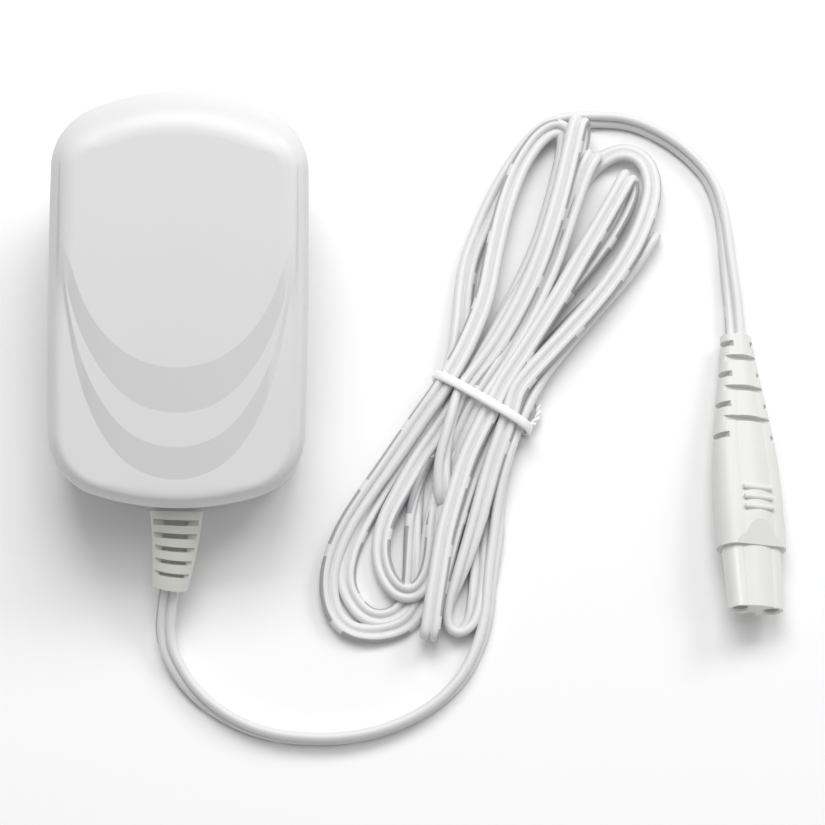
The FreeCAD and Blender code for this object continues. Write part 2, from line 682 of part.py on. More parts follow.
def bobbin():
    """The former: a square tube with two cheeks, on two pin rails."""
    width, length, tube_x, tube_z = bobbin_frame()
    solid = box(-tube_x, tube_x, -length / 2, length / 2, -tube_z, tube_z)
    for side in (-1, 1):
        y0, y1 = sorted((side * length / 2, side * (length / 2 - BOBBIN_WALL)))
        solid = solid.fuse(box(-width / 2, width / 2, y0, y1, -BOBBIN_H / 2, BOBBIN_H / 2))
        y0, y1 = sorted((side * (length / 2 - BOBBIN_WALL), side * (CORE_HALF + 0.6)))
        solid = solid.fuse(box(-CORE_W / 2, CORE_W / 2, y0, y1, -BOBBIN_H / 2, -CORE_T / 2 - 0.5))
    bore_x, bore_z = CORE_MID / 2 + FIT_GAP, CORE_T / 2 + FIT_GAP
    solid = solid.cut(box(-bore_x, bore_x, -length, length, -bore_z, bore_z))
    solid.translate(on_board(*place_of("transformer"), BOBBIN_H / 2))
    return solid


def winding():
    """The wound and taped coil between the bobbin's cheeks."""
    width, length, tube_x, tube_z = bobbin_frame()
    half_x, half_z, half_y = width / 2 - 0.3, BOBBIN_H / 2 - 0.6, length / 2 - BOBBIN_WALL
    coil = box(-half_x, half_x, -half_y, half_y, -half_z, half_z)
    coil = coil.makeFillet(2.2, [e for e in coil.Edges if abs(e.Vertexes[0].Y - e.Vertexes[-1].Y) > half_y])
    coil = coil.cut(box(-tube_x, tube_x, -length, length, -tube_z, tube_z))
    coil.translate(on_board(*place_of("transformer"), BOBBIN_H / 2))
    return coil


def core_tape():
    """The tape that binds the two core halves."""
    x, y = CORE_W / 2, CORE_HALF
    band = box(-x - TAPE_T, x + TAPE_T, -y - TAPE_T, y + TAPE_T, -TAPE_W / 2, TAPE_W / 2)
    band = band.cut(box(-x, x, -y, y, -TAPE_W, TAPE_W))
    band.translate(on_board(*place_of("transformer"), BOBBIN_H / 2))
    return band


def mains_lead(side):
    """The wire from a blade's tail down past the board's end and over on to it."""
    tail = blade_spot(side) + V(0, 0, WALL + BLADE_TAIL_H)
    land = on_board(side * (BLADE_PITCH / 2 + LEAD_SPREAD), board_edges()[2] - LEAD_INSET)
    rise = land.z + LEAD_ARCH
    points = [tail, V(tail.x, tail.y, rise), V(land.x, land.y, rise), land]
    return bent_tube(points, WIRE_R)[0]


def output_lead(side):
    """One core of the cord, from the strain relief's flange down to the board."""
    start = V(side * CORE_PITCH / 2, -HOUSING_L / 2 + WALL + FLANGE_T, SPLIT_Z)
    land = on_board(side * CORE_PITCH / 2, board_edges()[1] + OUTPUT_INSET)
    points = [start, V(start.x, land.y, start.z), land]
    return bent_tube(points, WIRE_R)[0]


# Hank and tie

def hank_frame(along):
    """The hank's local frame: X across to the right, Y up, Z back towards its foot."""
    dx, dy = HANK_HEAD[0] - HANK_FOOT[0], HANK_HEAD[1] - HANK_FOOT[1]
    length = math.hypot(dx, dy)
    ahead = V(dx / length, dy / length, 0)
    centre = V(HANK_FOOT[0], HANK_FOOT[1], 0) + ahead * along
    return FreeCAD.Placement(centre, FreeCAD.Rotation(V(ahead.y, -ahead.x, 0), V(0, 0, 1), -ahead, "ZXY"))


def hank_section(along, left, right, foot, top):
    """One elliptical cross-section of the bundle."""
    ellipse = Part.Ellipse(V((left + right) / 2, (foot + top) / 2, 0), (right - left) / 2, (top - foot) / 2)
    wire = Part.Wire([ellipse.toShape()])
    wire.Placement = hank_frame(along)
    return wire


def hank():
    """The outer shape of the folded cord."""
    return Part.makeLoft([hank_section(*section) for section in HANK_SECTIONS], True, False)


def twist_tie():
    """The band about the hank's waist, with its twisted end curling down beside it."""
    left, right, foot, top = min(HANK_SECTIONS, key=lambda section: abs(section[0] - TIE_ALONG))[1:]
    centre = V((left + right) / 2, (foot + top) / 2, -TIE_BAND / 2)
    rings = []
    for grow in (TIE_GAP + TIE_T, TIE_GAP):
        ellipse = Part.Ellipse(centre, (right - left) / 2 + grow, (top - foot) / 2 + grow)
        rings.append(prism(Part.Wire([ellipse.toShape()]), TIE_BAND))
    band = rings[0].cut(rings[1])
    band = band.makeFillet(TIE_T * 0.42, band.Edges)
    side = right + TIE_GAP + TIE_T / 2
    points = [V(side, centre.y - 0.6, 0), V(side + 1.3, centre.y - 2.6, -0.8),
              V(side + 1.0, centre.y - 3.6, -3.6), V(side - 0.3, centre.y - 3.9, -6.6)]
    tie = band.fuse(bent_tube(points, TIE_END_R)[0])
    tie.Placement = hank_frame(TIE_ALONG)
    return tie


# Connector

def connector_frame():
    """The connector's place: its foot at the cord end, its Z along to the nose, its Y out of the front."""
    pitch, heading = math.radians(CONN_PITCH), math.radians(-90 - CONN_HEADING)
    along = V(math.cos(heading) * math.cos(pitch), math.sin(heading) * math.cos(pitch), math.sin(pitch))
    across = V(0, 0, 1).cross(along).normalize()
    front = along.cross(across)
    turn = FreeCAD.Rotation(along, -CONN_ROLL)
    across, front = turn.multVec(across), turn.multVec(front)
    return FreeCAD.Placement(V(CONN_FOOT[0], CONN_FOOT[1], 0), FreeCAD.Rotation(across, front, along, "ZXY"))


def connector_depth(along):
    """The overmould's half height at a distance from the cord end."""
    for (z0, w0, h0), (z1, w1, h1) in zip(CONN_SECTIONS, CONN_SECTIONS[1:]):
        if along <= z1:
            share = (along - z0) / (z1 - z0)
            return (w0 + (w1 - w0) * share) / 2, (h0 + (h1 - h0) * share) / 2
    return CONN_SECTIONS[-1][1] / 2, CONN_SECTIONS[-1][2] / 2


def nose_solid(grow=0.0):
    """The drafted nose with the notch between its two lobes, from inside the grip to the tip."""
    z0, z1 = CONN_SECTIONS[-1][0], CONN_SECTIONS[-1][0] + NOSE_L
    sizes = ((z0 - NOSE_IN, NOSE_W0, NOSE_H0), (z0, NOSE_W0, NOSE_H0), (z1, NOSE_W1, NOSE_H1))
    sections = []
    for z, width, height in sizes:
        wire = oval(width + 2 * grow, height + 2 * grow)
        wire.translate(V(0, 0, z))
        sections.append(wire)
    return Part.makeLoft(sections, True, True)


def connector_nose():
    """The two-hole insert."""
    tip = CONN_SECTIONS[-1][0] + NOSE_L
    nose = nose_solid()
    notch_at = V(0, -NOSE_H1 / 2 - NOTCH_R + NOTCH_DEEP, tip - NOSE_L + 1.0)
    notch = Part.makeCylinder(NOTCH_R, NOSE_L - 1.0, notch_at)
    nose = nose.cut(notch)
    for side in (-1, 1):
        x = side * SOCKET_PITCH / 2
        nose = nose.cut(Part.makeCylinder(SOCKET_R, SOCKET_DEEP, V(x, 0, tip - SOCKET_DEEP)))
        mouth = V(x, 0, tip - SOCKET_MOUTH)
        nose = nose.cut(Part.makeCone(SOCKET_R, SOCKET_R + SOCKET_MOUTH, SOCKET_MOUTH, mouth))
    return nose


def contact_sleeve(side):
    """A slit metal sleeve seated in one of the nose's holes."""
    tip = CONN_SECTIONS[-1][0] + NOSE_L
    x, z0 = side * SOCKET_PITCH / 2, tip - SLEEVE_BACK - SLEEVE_L
    sleeve = Part.makeCylinder(SOCKET_R, SLEEVE_L, V(x, 0, z0))
    sleeve = sleeve.cut(Part.makeCylinder(SLEEVE_R, SLEEVE_L, V(x, 0, z0)))
    slit = box(x - SLEEVE_SLIT / 2, x + SLEEVE_SLIT / 2, 0, 2 * SOCKET_R, z0 - 1, z0 + SLEEVE_L + 1)
    return sleeve.cut(slit)


def connector_body():
    """The overmould: alternating relief slots, three ridges and a sloped facet above the nose."""
    sections = []
    for z, width, height in CONN_SECTIONS:
        wire = oval(width, height)
        wire.translate(V(0, 0, z))
        sections.append(wire)
    body = Part.makeLoft(sections, True, False)
    far = CONN_SECTIONS[-1][1]
    for number in range(FRONT_SLOTS):
        z = FRONT_SLOT_FIRST + number * SLOT_PITCH
        floor = connector_depth(z)[1] - SLOT_DEEP
        for y0, y1 in ((floor, far), (-far, -floor)):
            body = body.cut(box(-far, far, y0, y1, z - SLOT_H / 2, z + SLOT_H / 2))
    for number in range(SIDE_SLOTS):
        z = SIDE_SLOT_FIRST + number * SLOT_PITCH
        floor = connector_depth(z)[0] - SLOT_DEEP
        for x0, x1 in ((floor, far), (-far, -floor)):
            body = body.cut(box(x0, x1, -far, far, z - SLOT_H / 2, z + SLOT_H / 2))
    body = add_ridges(body)
    end = CONN_SECTIONS[-1][0]
    front = CONN_SECTIONS[-1][2] / 2
    wedge = Part.makePolygon([V(-far, front, FACET_FROM), V(-far, front - FACET_DEEP, end),
                              V(-far, far, end + 1), V(-far, far, FACET_FROM), V(-far, front, FACET_FROM)])
    body = body.cut(Part.Face(wedge).extrude(V(2 * far, 0, 0)))
    return body.cut(nose_solid())


def add_ridges(body):
    """Three rounded grip ridges across the front."""
    for number in range(RIDGES):
        z = RIDGE_FIRST + number * RIDGE_PITCH
        top = connector_depth(z)[1] - RIDGE_R + RIDGE_OUT
        ridge = Part.makeCylinder(RIDGE_R, RIDGE_L, V(-RIDGE_L / 2, top, z), V(1, 0, 0))
        rims = [e for e in ridge.Edges if e.Closed and len(e.Vertexes) == 1]
        ridge = ridge.makeFillet(RIDGE_R * 0.6, rims)
        body = body.fuse(ridge)
    return body


def connector_rest():
    """The connector's frame, lowered or raised so that its lowest edge touches the table."""
    place = connector_frame()
    lowest = connector_body()
    lowest.Placement = place
    place.Base = place.Base + V(0, 0, CONN_LIFT - lowest.optimalBoundingBox(False, False).ZMin)
    return place


# Assembly

def build_housing():
    """Everything that the housing holds, in the housing's own frame."""
    pieces = {"front_shell": front_shell(), "rear_shell": rear_shell(), "strain_relief": strain_relief(),
              "circuit_board": circuit_board(), "insulation_sheet": insulation_sheet()}
    for side, word in ((-1, "left"), (1, "right")):
        prong = blade()
        prong.translate(blade_spot(side))
        pieces["blade_" + word] = prong
        pieces["mains_lead_" + word] = mains_lead(side)
    x, y = place_of("input_capacitors")
    pieces["input_capacitor_1"] = capacitor_can(x, y)
    pieces["input_capacitor_2"] = capacitor_can(x, y - 2 * CAN_R - CAN_GAP)
    pieces["input_choke"] = choke(*place_of("input_choke"))
    pieces["fusible_resistor"] = axial_part(*place_of("fusible_resistor"), FUSE_R, FUSE_L, FUSE_SPAN,
                                            FUSE_LIFT)
    pieces["bridge_rectifier"] = chip(*place_of("bridge_rectifier"), BRIDGE_W, BRIDGE_L, 2)
    pieces["controller_ic"] = chip(*place_of("controller_ic"), CONTROLLER_W, CONTROLLER_L, 4)
    pieces["optocoupler"] = chip(*place_of("optocoupler"), COUPLER_W, COUPLER_L, 2)
    pieces["y_capacitor"] = disc_capacitor(*place_of("y_capacitor"))
    pieces["snubber_capacitor"] = box_capacitor(*place_of("snubber_capacitor"))
    pieces["transformer_core_upper"] = core_half(1)
    pieces["transformer_core_lower"] = core_half(-1)
    pieces["transformer_bobbin"] = bobbin()
    pieces["transformer_winding"] = winding()
    pieces["core_tape"] = core_tape()
    pieces["output_diode"] = axial_part(*place_of("output_diode"), DIODE_R, DIODE_L, DIODE_SPAN, DIODE_LIFT)
    pieces["output_capacitor"] = capacitor_can(*place_of("output_capacitor"))
    pieces["output_lead_positive"] = output_lead(1)
    pieces["output_lead_negative"] = output_lead(-1)
    return pieces


def settle(pieces):
    """The placement that lays the housing on the table, centred over the frame's origin."""
    tilt = rest_tilt()
    place = rest_placement(tilt)
    tilted = []
    for shape in pieces.values():
        copy = shape.copy()
        copy.Placement = place.multiply(copy.Placement)
        tilted.append(copy)
    bounds = Part.makeCompound(tilted).optimalBoundingBox(False, False)
    return rest_placement(tilt, V(0, -(bounds.YMin + bounds.YMax) / 2, -bounds.ZMin))


def build_cords(place):
    """The two loose stretches, the hank between them, and the connector that ends the cord."""
    bundle = hank()
    tip = place.multiply(relief_frame(RELIEF_L))
    heading = tip.Rotation.multVec(V(0, 0, 1))
    route = [tip.Base, tip.Base + heading * LEAD_STRAIGHT] + [V(*point) for point in LEAD_ROUTE]
    lead, radii, length = bent_tube(route, CORD_R)
    print("lead radii", [round(radius, 1) for radius in radii], "length", round(length, 1),
          "volume share", round(lead.Volume / (math.pi * CORD_R ** 2 * length), 4), "tip", tip.Base)
    add("cord_lead", lead.cut(bundle))
    grip = connector_rest()
    route = [V(*point) for point in TAIL_ROUTE] + [grip.Base]
    tail, radii, length = bent_tube(route, CORD_R)
    print("tail radii", [round(radius, 1) for radius in radii], "length", round(length, 1),
          "volume share", round(tail.Volume / (math.pi * CORD_R ** 2 * length), 4), "foot", grip.Base)
    body = connector_body()
    add("connector_body", body, grip)
    add("cord_tail", tail.cut(bundle).cut(NODES["connector_body"]))
    add("connector_nose", connector_nose(), grip)
    add("contact_sleeve_left", contact_sleeve(-1), grip)
    add("contact_sleeve_right", contact_sleeve(1), grip)
    add("cord_hank", bundle)
    add("twist_tie", twist_tie())
    for side in (-1, 1):
        mouth = V(side * SOCKET_PITCH / 2, 0, CONN_SECTIONS[-1][0] + NOSE_L - SLEEVE_BACK - SLEEVE_L / 2)
        print("socket", side, grip.multVec(mouth), grip.Rotation.multVec(V(0, 0, 1)))


def main():
    """Builds every sub-part and writes one STEP file for each."""
    pieces = build_housing()
    place = settle(pieces)
    print("tilt", round(rest_tilt(), 3), "origin", place.Base)
    for name, shape in pieces.items():
        add(name, shape, place)
    build_cords(place)
    print("outlet face", place.multVec(V(0, 0, 0)), place.Rotation.multVec(V(0, 0, -1)))
    print("blades", place.multVec(V(0, HOUSING_L / 2 - BLADE_FROM_END, 0)))
    os.makedirs("parts", exist_ok=True)
    for name, shape in NODES.items():
        if not shape.isValid() or not shape.Solids:
            print("check", name, shape.isValid(), len(shape.Solids))
        shape.exportStep("parts/" + name + ".step")
    print(len(NODES), "sub-parts")


main()
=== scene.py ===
"""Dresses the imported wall-plug power adapter.

The solids come from the frame. This script gives each of them its finish, lays the flat twin cord
along its whole route, folded into a tied hank, ties it, solders and winds the board's parts, and
sets up a pale table, soft light and a camera. Sizes in the classes are in millimetres, and turn
into metres where a mesh is made.
"""

from __future__ import annotations

import json
import logging
import math
from dataclasses import dataclass, field
from enum import Enum

import bmesh
import bpy
from mathutils import Matrix, Vector

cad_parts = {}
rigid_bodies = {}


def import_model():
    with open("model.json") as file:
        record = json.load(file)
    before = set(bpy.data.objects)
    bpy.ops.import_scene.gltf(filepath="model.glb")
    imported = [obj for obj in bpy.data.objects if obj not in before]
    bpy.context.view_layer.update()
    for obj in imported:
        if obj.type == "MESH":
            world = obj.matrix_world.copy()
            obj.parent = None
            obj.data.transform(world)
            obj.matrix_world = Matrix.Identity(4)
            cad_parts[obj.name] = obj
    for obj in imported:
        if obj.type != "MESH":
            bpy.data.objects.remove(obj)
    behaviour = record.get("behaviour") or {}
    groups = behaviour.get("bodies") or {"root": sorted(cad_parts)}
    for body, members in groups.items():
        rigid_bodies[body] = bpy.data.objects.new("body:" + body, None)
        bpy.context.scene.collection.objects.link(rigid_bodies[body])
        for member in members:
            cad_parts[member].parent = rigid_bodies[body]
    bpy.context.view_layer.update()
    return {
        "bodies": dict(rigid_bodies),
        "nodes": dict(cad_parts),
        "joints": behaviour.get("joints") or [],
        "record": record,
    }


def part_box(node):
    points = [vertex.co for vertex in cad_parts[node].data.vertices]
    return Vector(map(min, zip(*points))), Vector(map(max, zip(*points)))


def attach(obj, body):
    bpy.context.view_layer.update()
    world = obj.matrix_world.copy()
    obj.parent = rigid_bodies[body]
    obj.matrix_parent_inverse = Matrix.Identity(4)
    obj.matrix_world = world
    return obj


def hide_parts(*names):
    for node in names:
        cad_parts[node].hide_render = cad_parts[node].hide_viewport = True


LOG = logging.getLogger("adapter")
MM = 0.001

# How far the housing lies tipped, where the middle of its back is, and its own ways when it lies so
TILT = math.radians(15.062)
BACK_MIDDLE = (0.0, 10.294, 9.570)
ACROSS = (1.0, 0.0, 0.0)
TO_BLADE_END = (0.0, math.cos(TILT), math.sin(TILT))
TO_CORD_END = (0.0, -math.cos(TILT), -math.sin(TILT))
UPWARD = (0.0, -math.sin(TILT), math.cos(TILT))


class Lean(Enum):
    """How far the flat cord leans over, in degrees from lying flat."""

    FLAT = 0.0
    EASY = 22.0
    HALF = 45.0
    STEEP = 65.0
    EDGE = 88.0
    OVER = 112.0
    BACK = 145.0


FLAT, EASY, HALF, STEEP, EDGE, OVER, BACK = Lean


class Signal:
    """One socket of a node tree, on which sums are written as sums."""

    def __init__(self, graph: Graph, socket: bpy.types.NodeSocket) -> None:
        """Keeps the socket and the tree that it belongs to."""
        self.graph = graph
        self.socket = socket

    def maths(self, operation: str, first: Signal | float, second: Signal | float = 0.0) -> Signal:
        """Adds one Math node and returns its output."""
        return self.graph.node("ShaderNodeMath", {"operation": operation}, {0: first, 1: second})

    def __add__(self, other: Signal | float) -> Signal:
        """Returns self + other."""
        return self.maths("ADD", self, other)

    __radd__ = __add__

    def __sub__(self, other: Signal | float) -> Signal:
        """Returns self - other."""
        return self.maths("SUBTRACT", self, other)

    def __rsub__(self, other: Signal | float) -> Signal:
        """Returns other - self."""
        return self.maths("SUBTRACT", other, self)

    def __mul__(self, other: Signal | float) -> Signal:
        """Returns self * other."""
        return self.maths("MULTIPLY", self, other)

    __rmul__ = __mul__

    def __truediv__(self, other: Signal | float) -> Signal:
        """Returns self / other."""
        return self.maths("DIVIDE", self, other)

    def __lt__(self, other: Signal | float) -> Signal:
        """Returns 1 where self is less than other."""
        return self.maths("LESS_THAN", self, other)

    def __abs__(self) -> Signal:
        """Returns self without its sign."""
        return self.maths("ABSOLUTE", self)

    def at_least(self, least: float) -> Signal:
        """Returns self, or least where self is less."""
        return self.maths("MAXIMUM", self, least)

    def fraction(self) -> Signal:
        """Returns what is left of self after its whole part."""
        return self.maths("FRACT", self)

    def step(self, low: float, high: float) -> Signal:
        """Returns a smooth rise from 0 at low to 1 at high."""
        return self.graph.node("ShaderNodeMapRange", {"interpolation_type": "SMOOTHSTEP"},
                               {"Value": self, "From Min": low, "From Max": high})


class Graph:
    """A tree of nodes, of a material or of Geometry Nodes."""

    def __init__(self, tree: bpy.types.NodeTree) -> None:
        """Keeps the tree."""
        self.tree = tree

    def node(self, kind: str, settings: dict | None = None, inputs: dict | None = None,
             output: int | str = 0) -> Signal | None:
        """Adds any node.

        Args:
            kind: the node's type.
            settings: its own settings, set first.
            inputs: values, links or lists of links for its sockets, by name or number.
            output: the output to hand back.

        Returns:
            That output, or None where the node has none.
        """
        made = self.tree.nodes.new(kind)
        for key, value in (settings or {}).items():
            setattr(made, key, value)
        for key, value in (inputs or {}).items():
            for item in value if isinstance(value, list) else [value]:
                if isinstance(item, Signal):
                    self.tree.links.new(item.socket, made.inputs[key])
                else:
                    made.inputs[key].default_value = item
        return Signal(self, made.outputs[output]) if len(made.outputs) else None


class Surface(Graph):
    """A material's tree."""

    def __init__(self, name: str) -> None:
        """Starts an empty material.

        Args:
            name: its name.
        """
        self.material = bpy.data.materials.new(name)
        self.material.use_nodes = True
        super().__init__(self.material.node_tree)
        self.tree.nodes.clear()

    def place(self, turn: tuple = (0.0, 0.0, 0.0), stretch: tuple = (1.0, 1.0, 1.0)) -> Signal:
        """Returns the object's own coordinates, turned and stretched."""
        own = self.node("ShaderNodeTexCoord", output="Object")
        return self.node("ShaderNodeMapping", {"vector_type": "POINT"},
                         {"Vector": own, "Rotation": turn, "Scale": stretch})

    def measure(self, what: str, way: tuple) -> Signal:
        """Returns how much of an own coordinate lies along a way of the object's own axes."""
        own = self.node("ShaderNodeTexCoord", output=what)
        return self.node("ShaderNodeVectorMath", {"operation": "DOT_PRODUCT"}, {0: own, 1: way}, "Value")

    def facing(self, way: tuple) -> Signal:
        """Returns how squarely the surface faces a way, 1 to -1."""
        return self.measure("Normal", way)

    def along(self, way: tuple) -> Signal:
        """Returns how far a point lies along a way, in millimetres from the object's origin."""
        return self.measure("Object", way) / MM

    def noise(self, size: float, detail: float = 3.0, rough: float = 0.55,
              stretch: tuple = (1.0, 1.0, 1.0)) -> Signal:
        """Returns noise whose blotches are about size millimetres wide, drawn out where stretch is small."""
        return self.node("ShaderNodeTexNoise", {"noise_dimensions": "3D"}, {
            "Vector": self.place(stretch=stretch), "Scale": 1.0 / (size * MM), "Detail": detail,
            "Roughness": rough})

    def blend(self, share: Signal | float, first: tuple | Signal, second: tuple | Signal) -> Signal:
        """Returns a colour between two, by share."""
        return self.node("ShaderNodeMix", {"data_type": "RGBA"}, {0: share, 6: first, 7: second}, 2)

    def softened(self, share: Signal, radius: float, samples: int = 8) -> Signal:
        """Rounds the creases of the surface's normal.

        Args:
            share: 1 where they are rounded, 0 where they stay.
            radius: the rounding's radius, in millimetres.
            samples: how many rays look for creases.

        Returns:
            The normal.
        """
        true = self.node("ShaderNodeNewGeometry", output="Normal")
        rounded = self.node("ShaderNodeBevel", {"samples": samples}, {"Radius": radius * MM})
        return self.node("ShaderNodeMix", {"data_type": "VECTOR"}, {0: share, 4: true, 5: rounded}, 1)

    def bump(self, height: Signal, strength: float, depth: float, over: Signal | None = None) -> Signal:
        """Makes a fine relief.

        Args:
            height: the relief, 0 to 1.
            strength: how much of it shows.
            depth: its depth, in millimetres.
            over: the normal that it lies on, if not the surface's own.

        Returns:
            The normal.
        """
        inputs = {"Height": height, "Strength": strength, "Distance": depth * MM}
        if over:
            inputs["Normal"] = over
        return self.node("ShaderNodeBump", None, inputs)

    def finish(self, inputs: dict) -> bpy.types.Material:
        """Closes the tree with one surface shader.

        Args:
            inputs: values or links of the shader's sockets.

        Returns:
            The finished material.
        """
        surface = self.node("ShaderNodeBsdfPrincipled", None, inputs)
        self.node("ShaderNodeOutputMaterial", None, {"Surface": surface})
        return self.material


def tint(colour: tuple, gain: float = 1.0) -> tuple:
    """Returns a colour with its alpha, made lighter or darker."""
    return tuple(min(1.0, part * gain) for part in colour) + (1.0,)


class Finish:
    """How a surface looks, whatever piece it is on."""

    def dress(self, name: str) -> bpy.types.Material:
        """Returns the finish as a material of that name."""
        surface = Surface(name)
        return surface.finish(self.inputs(surface))

    def inputs(self, surface: Surface) -> dict:
        """Works out what goes into the shader.

        Args:
            surface: the material's tree.

        Returns:
            Values and links by the name of their socket.
        """
        raise NotImplementedError


@dataclass(frozen=True)
class Moulded(Finish):
    """Moulded plastic or rubber with a sparked texture, faint flow marks and dust."""

    colour: tuple
    rough: float
    grain: float = 0.35
    grain_depth: float = 0.012
    mottle: float = 0.03
    mottle_size: float = 14.0
    sheen: float = 0.0
    coat: float = 0.0
    glow: float = 0.0
    dust: float = 0.10

    def with_painted_shade(self, surface: Surface, colour: Signal) -> Signal:
        """Returns the colour as it is, with no painted shade laid on it."""
        return colour

    def beneath(self, surface: Surface) -> Signal | None:
        """Returns the normal under the texture, or None for the surface's own."""
        return None

    def inputs(self, surface: Surface) -> dict:
        """Works out what goes into the shader.

        Args:
            surface: the material's tree.

        Returns:
            Values and links by the name of their socket.
        """
        broad = surface.noise(self.mottle_size, 2.0)
        fine = surface.noise(self.grain, 2.0, 0.6)
        dust = surface.noise(0.9, 4.0, 0.7, (1.0, 1.0, 0.4)).step(0.66, 0.78)
        colour = surface.blend(broad, tint(self.colour, 1 - self.mottle), tint(self.colour, 1 + self.mottle))
        colour = surface.blend(dust * self.dust, colour, tint(self.colour, 0.86))
        return {
            "Base Color": self.with_painted_shade(surface, colour),
            "Roughness": (broad - 0.5) * 0.08 + (fine - 0.5) * 0.10 + self.rough,
            "Coat Weight": self.coat, "Coat Roughness": 0.18, "Sheen Weight": self.sheen,
            "Subsurface Weight": self.glow, "Subsurface Radius": (0.0012, 0.0011, 0.001),
            "Subsurface Scale": 1.0,
            "Normal": surface.bump(fine, 0.5, self.grain_depth, self.beneath(surface))}


@dataclass(frozen=True)
class SteppedFace(Moulded):
    """The housing's plastic: its risers are coloured darker as painted shade, and the rim round its face is
    rounded softly.

    A riser is told by its slope towards the cord end, as a rise from none to full and a fall again.
    The rim is told by its distance from the centres of the housing's corners, which lie that far
    across and along from the middle of its plan, and it ends short of the collar at the cord end.
    """

    # how much darker the risers are painted, as shade where they face away from the lights
    riser_painted_shade: float = 0.075
    slope_rises: tuple = (0.035, 0.06)
    slope_falls: tuple = (0.16, 0.24)
    level: tuple = (0.93, 0.96)
    softening: float = 3.6
    middle: float = 12.12
    corner_across: float = 12.1
    corner_along: float = 25.3
    rim: tuple = (8.7, 10.0)
    collar: tuple = (14.5, 14.7)

    def with_painted_shade(self, surface: Surface, colour: Signal) -> Signal:
        """Paints shade on the risers: darkens their colour where they slope towards the cord end, away from
        the lights.

        Args:
            surface: the material's tree.
            colour: the plastic's own colour.

        Returns:
            The colour.
        """
        slope = surface.facing(TO_CORD_END)
        shaded_riser = slope.step(*self.slope_rises) * (1.0 - slope.step(*self.slope_falls))
        shaded_riser = shaded_riser * surface.facing(UPWARD).step(*self.level)
        # painted shade: the risers' colour is darkened where they face away from the lights
        return surface.blend(shaded_riser, colour, tint(self.colour, 1 - self.riser_painted_shade))

    def beneath(self, surface: Surface) -> Signal:
        """Softens the creases of the rim.

        Args:
            surface: the material's tree.

        Returns:
            The normal.
        """
        across = (abs(surface.along(ACROSS)) - self.corner_across).at_least(0.0)
        along = (abs(surface.along(TO_BLADE_END) - self.middle) - self.corner_along).at_least(0.0)
        out = across * across + along * along
        start, full = self.rim
        rim = out.step(start ** 2, full ** 2) * (1.0 - along.step(*self.collar))
        return surface.softened(rim, self.softening)


@dataclass(frozen=True)
class Plated(Finish):
    """Plated or tinned metal, drawn or stamped, with fine lines along one way."""

    colour: tuple
    rough: float
    lines: tuple = (1.0, 0.06, 1.0)
    tarnish: float = 0.12

    def inputs(self, surface: Surface) -> dict:
        """Works out what goes into the shader.

        Args:
            surface: the material's tree.

        Returns:
            Values and links by the name of their socket.
        """
        drawn = surface.noise(0.12, stretch=self.lines)
        worn = surface.noise(2.2, 4.0)
        return {
            "Base Color": surface.blend(worn.step(0.35, 0.8) * self.tarnish, tint(self.colour),
                                        tint(self.colour, 0.55)),
            "Metallic": 1.0, "Roughness": (drawn - 0.5) * 0.16 + worn * 0.10 + self.rough,
            "Normal": surface.bump(drawn, 0.35, 0.01)}


@dataclass(frozen=True)
class Ground(Finish):
    """Pressed and ground ferrite: dark, grainy, with pale grinding lines."""

    colour: tuple = (0.035, 0.036, 0.04)

    def inputs(self, surface: Surface) -> dict:
        """Works out what goes into the shader.

        Args:
            surface: the material's tree.

        Returns:
            Values and links by the name of their socket.
        """
        grains = surface.noise(0.18, 4.0, 0.7)
        lines = surface.noise(0.3, 2.0, stretch=(1.0, 0.05, 1.0))
        pale = grains.step(0.55, 0.75) * 0.5
        return {"Base Color": surface.blend(pale, tint(self.colour), tint(self.colour, 3.2)),
                "Roughness": 0.42 + grains * 0.25,
                "Normal": surface.bump(grains * 0.6 + lines * 0.4, 0.6, 0.03)}


@dataclass(frozen=True)
class Laminate(Finish):
    """A board of pressed paper laminate with a lacquered copper side."""

    colour: tuple = (0.42, 0.27, 0.11)
    lacquer: tuple = (0.16, 0.10, 0.03)
    tracks_per_metre: float = 240.0

    def inputs(self, surface: Surface) -> dict:
        """Works out what goes into the shader.

        Args:
            surface: the material's tree.

        Returns:
            Values and links by the name of their socket.
        """
        fibres = surface.noise(0.5, 5.0, 0.7, (1.0, 0.25, 1.0))
        flat = surface.place(stretch=(1.0, 0.7, 0.0))
        edges = surface.node("ShaderNodeTexVoronoi", {"feature": "DISTANCE_TO_EDGE"},
                             {"Vector": flat, "Scale": self.tracks_per_metre}, "Distance")
        track = (1.0 - edges.step(0.05, 0.08)) * (1.0 - surface.facing(UPWARD).step(-0.6, -0.4))
        colour = surface.blend(fibres, tint(self.colour, 0.8), tint(self.colour, 1.25))
        return {"Base Color": surface.blend(track * 0.55, colour, tint(self.lacquer)),
                "Roughness": 0.38 + fibres * 0.15, "Coat Weight": 0.25,
                "Normal": surface.bump(fibres * 0.3 + track, 0.4, 0.04)}


@dataclass(frozen=True)
class Banded(Finish):
    """A tape or lacquer coat with bands across its length."""

    colour: tuple
    band: tuple
    pitch: float
    share: float
    turn: tuple = (0.0, 0.0, 0.0)
    rough: float = 0.3
    coat: float = 0.3

    def inputs(self, surface: Surface) -> dict:
        """Works out what goes into the shader.

        Args:
            surface: the material's tree.

        Returns:
            Values and links by the name of their socket.
        """
        along = surface.node("ShaderNodeSeparateXYZ", None, {"Vector": surface.place(turn=self.turn)}, "Z")
        wobble = surface.noise(1.5, 3.0)
        stripe = abs((along / (self.pitch * MM) + wobble * 0.06).fraction() - 0.5) < self.share / 2
        colour = surface.blend(stripe, tint(self.colour), tint(self.band))
        return {"Base Color": surface.blend(wobble * 0.18, colour, tint(self.colour, 0.6)),
                "Roughness": self.rough + wobble * 0.12, "Coat Weight": self.coat,
                "Normal": surface.bump(wobble, 0.3, 0.05)}


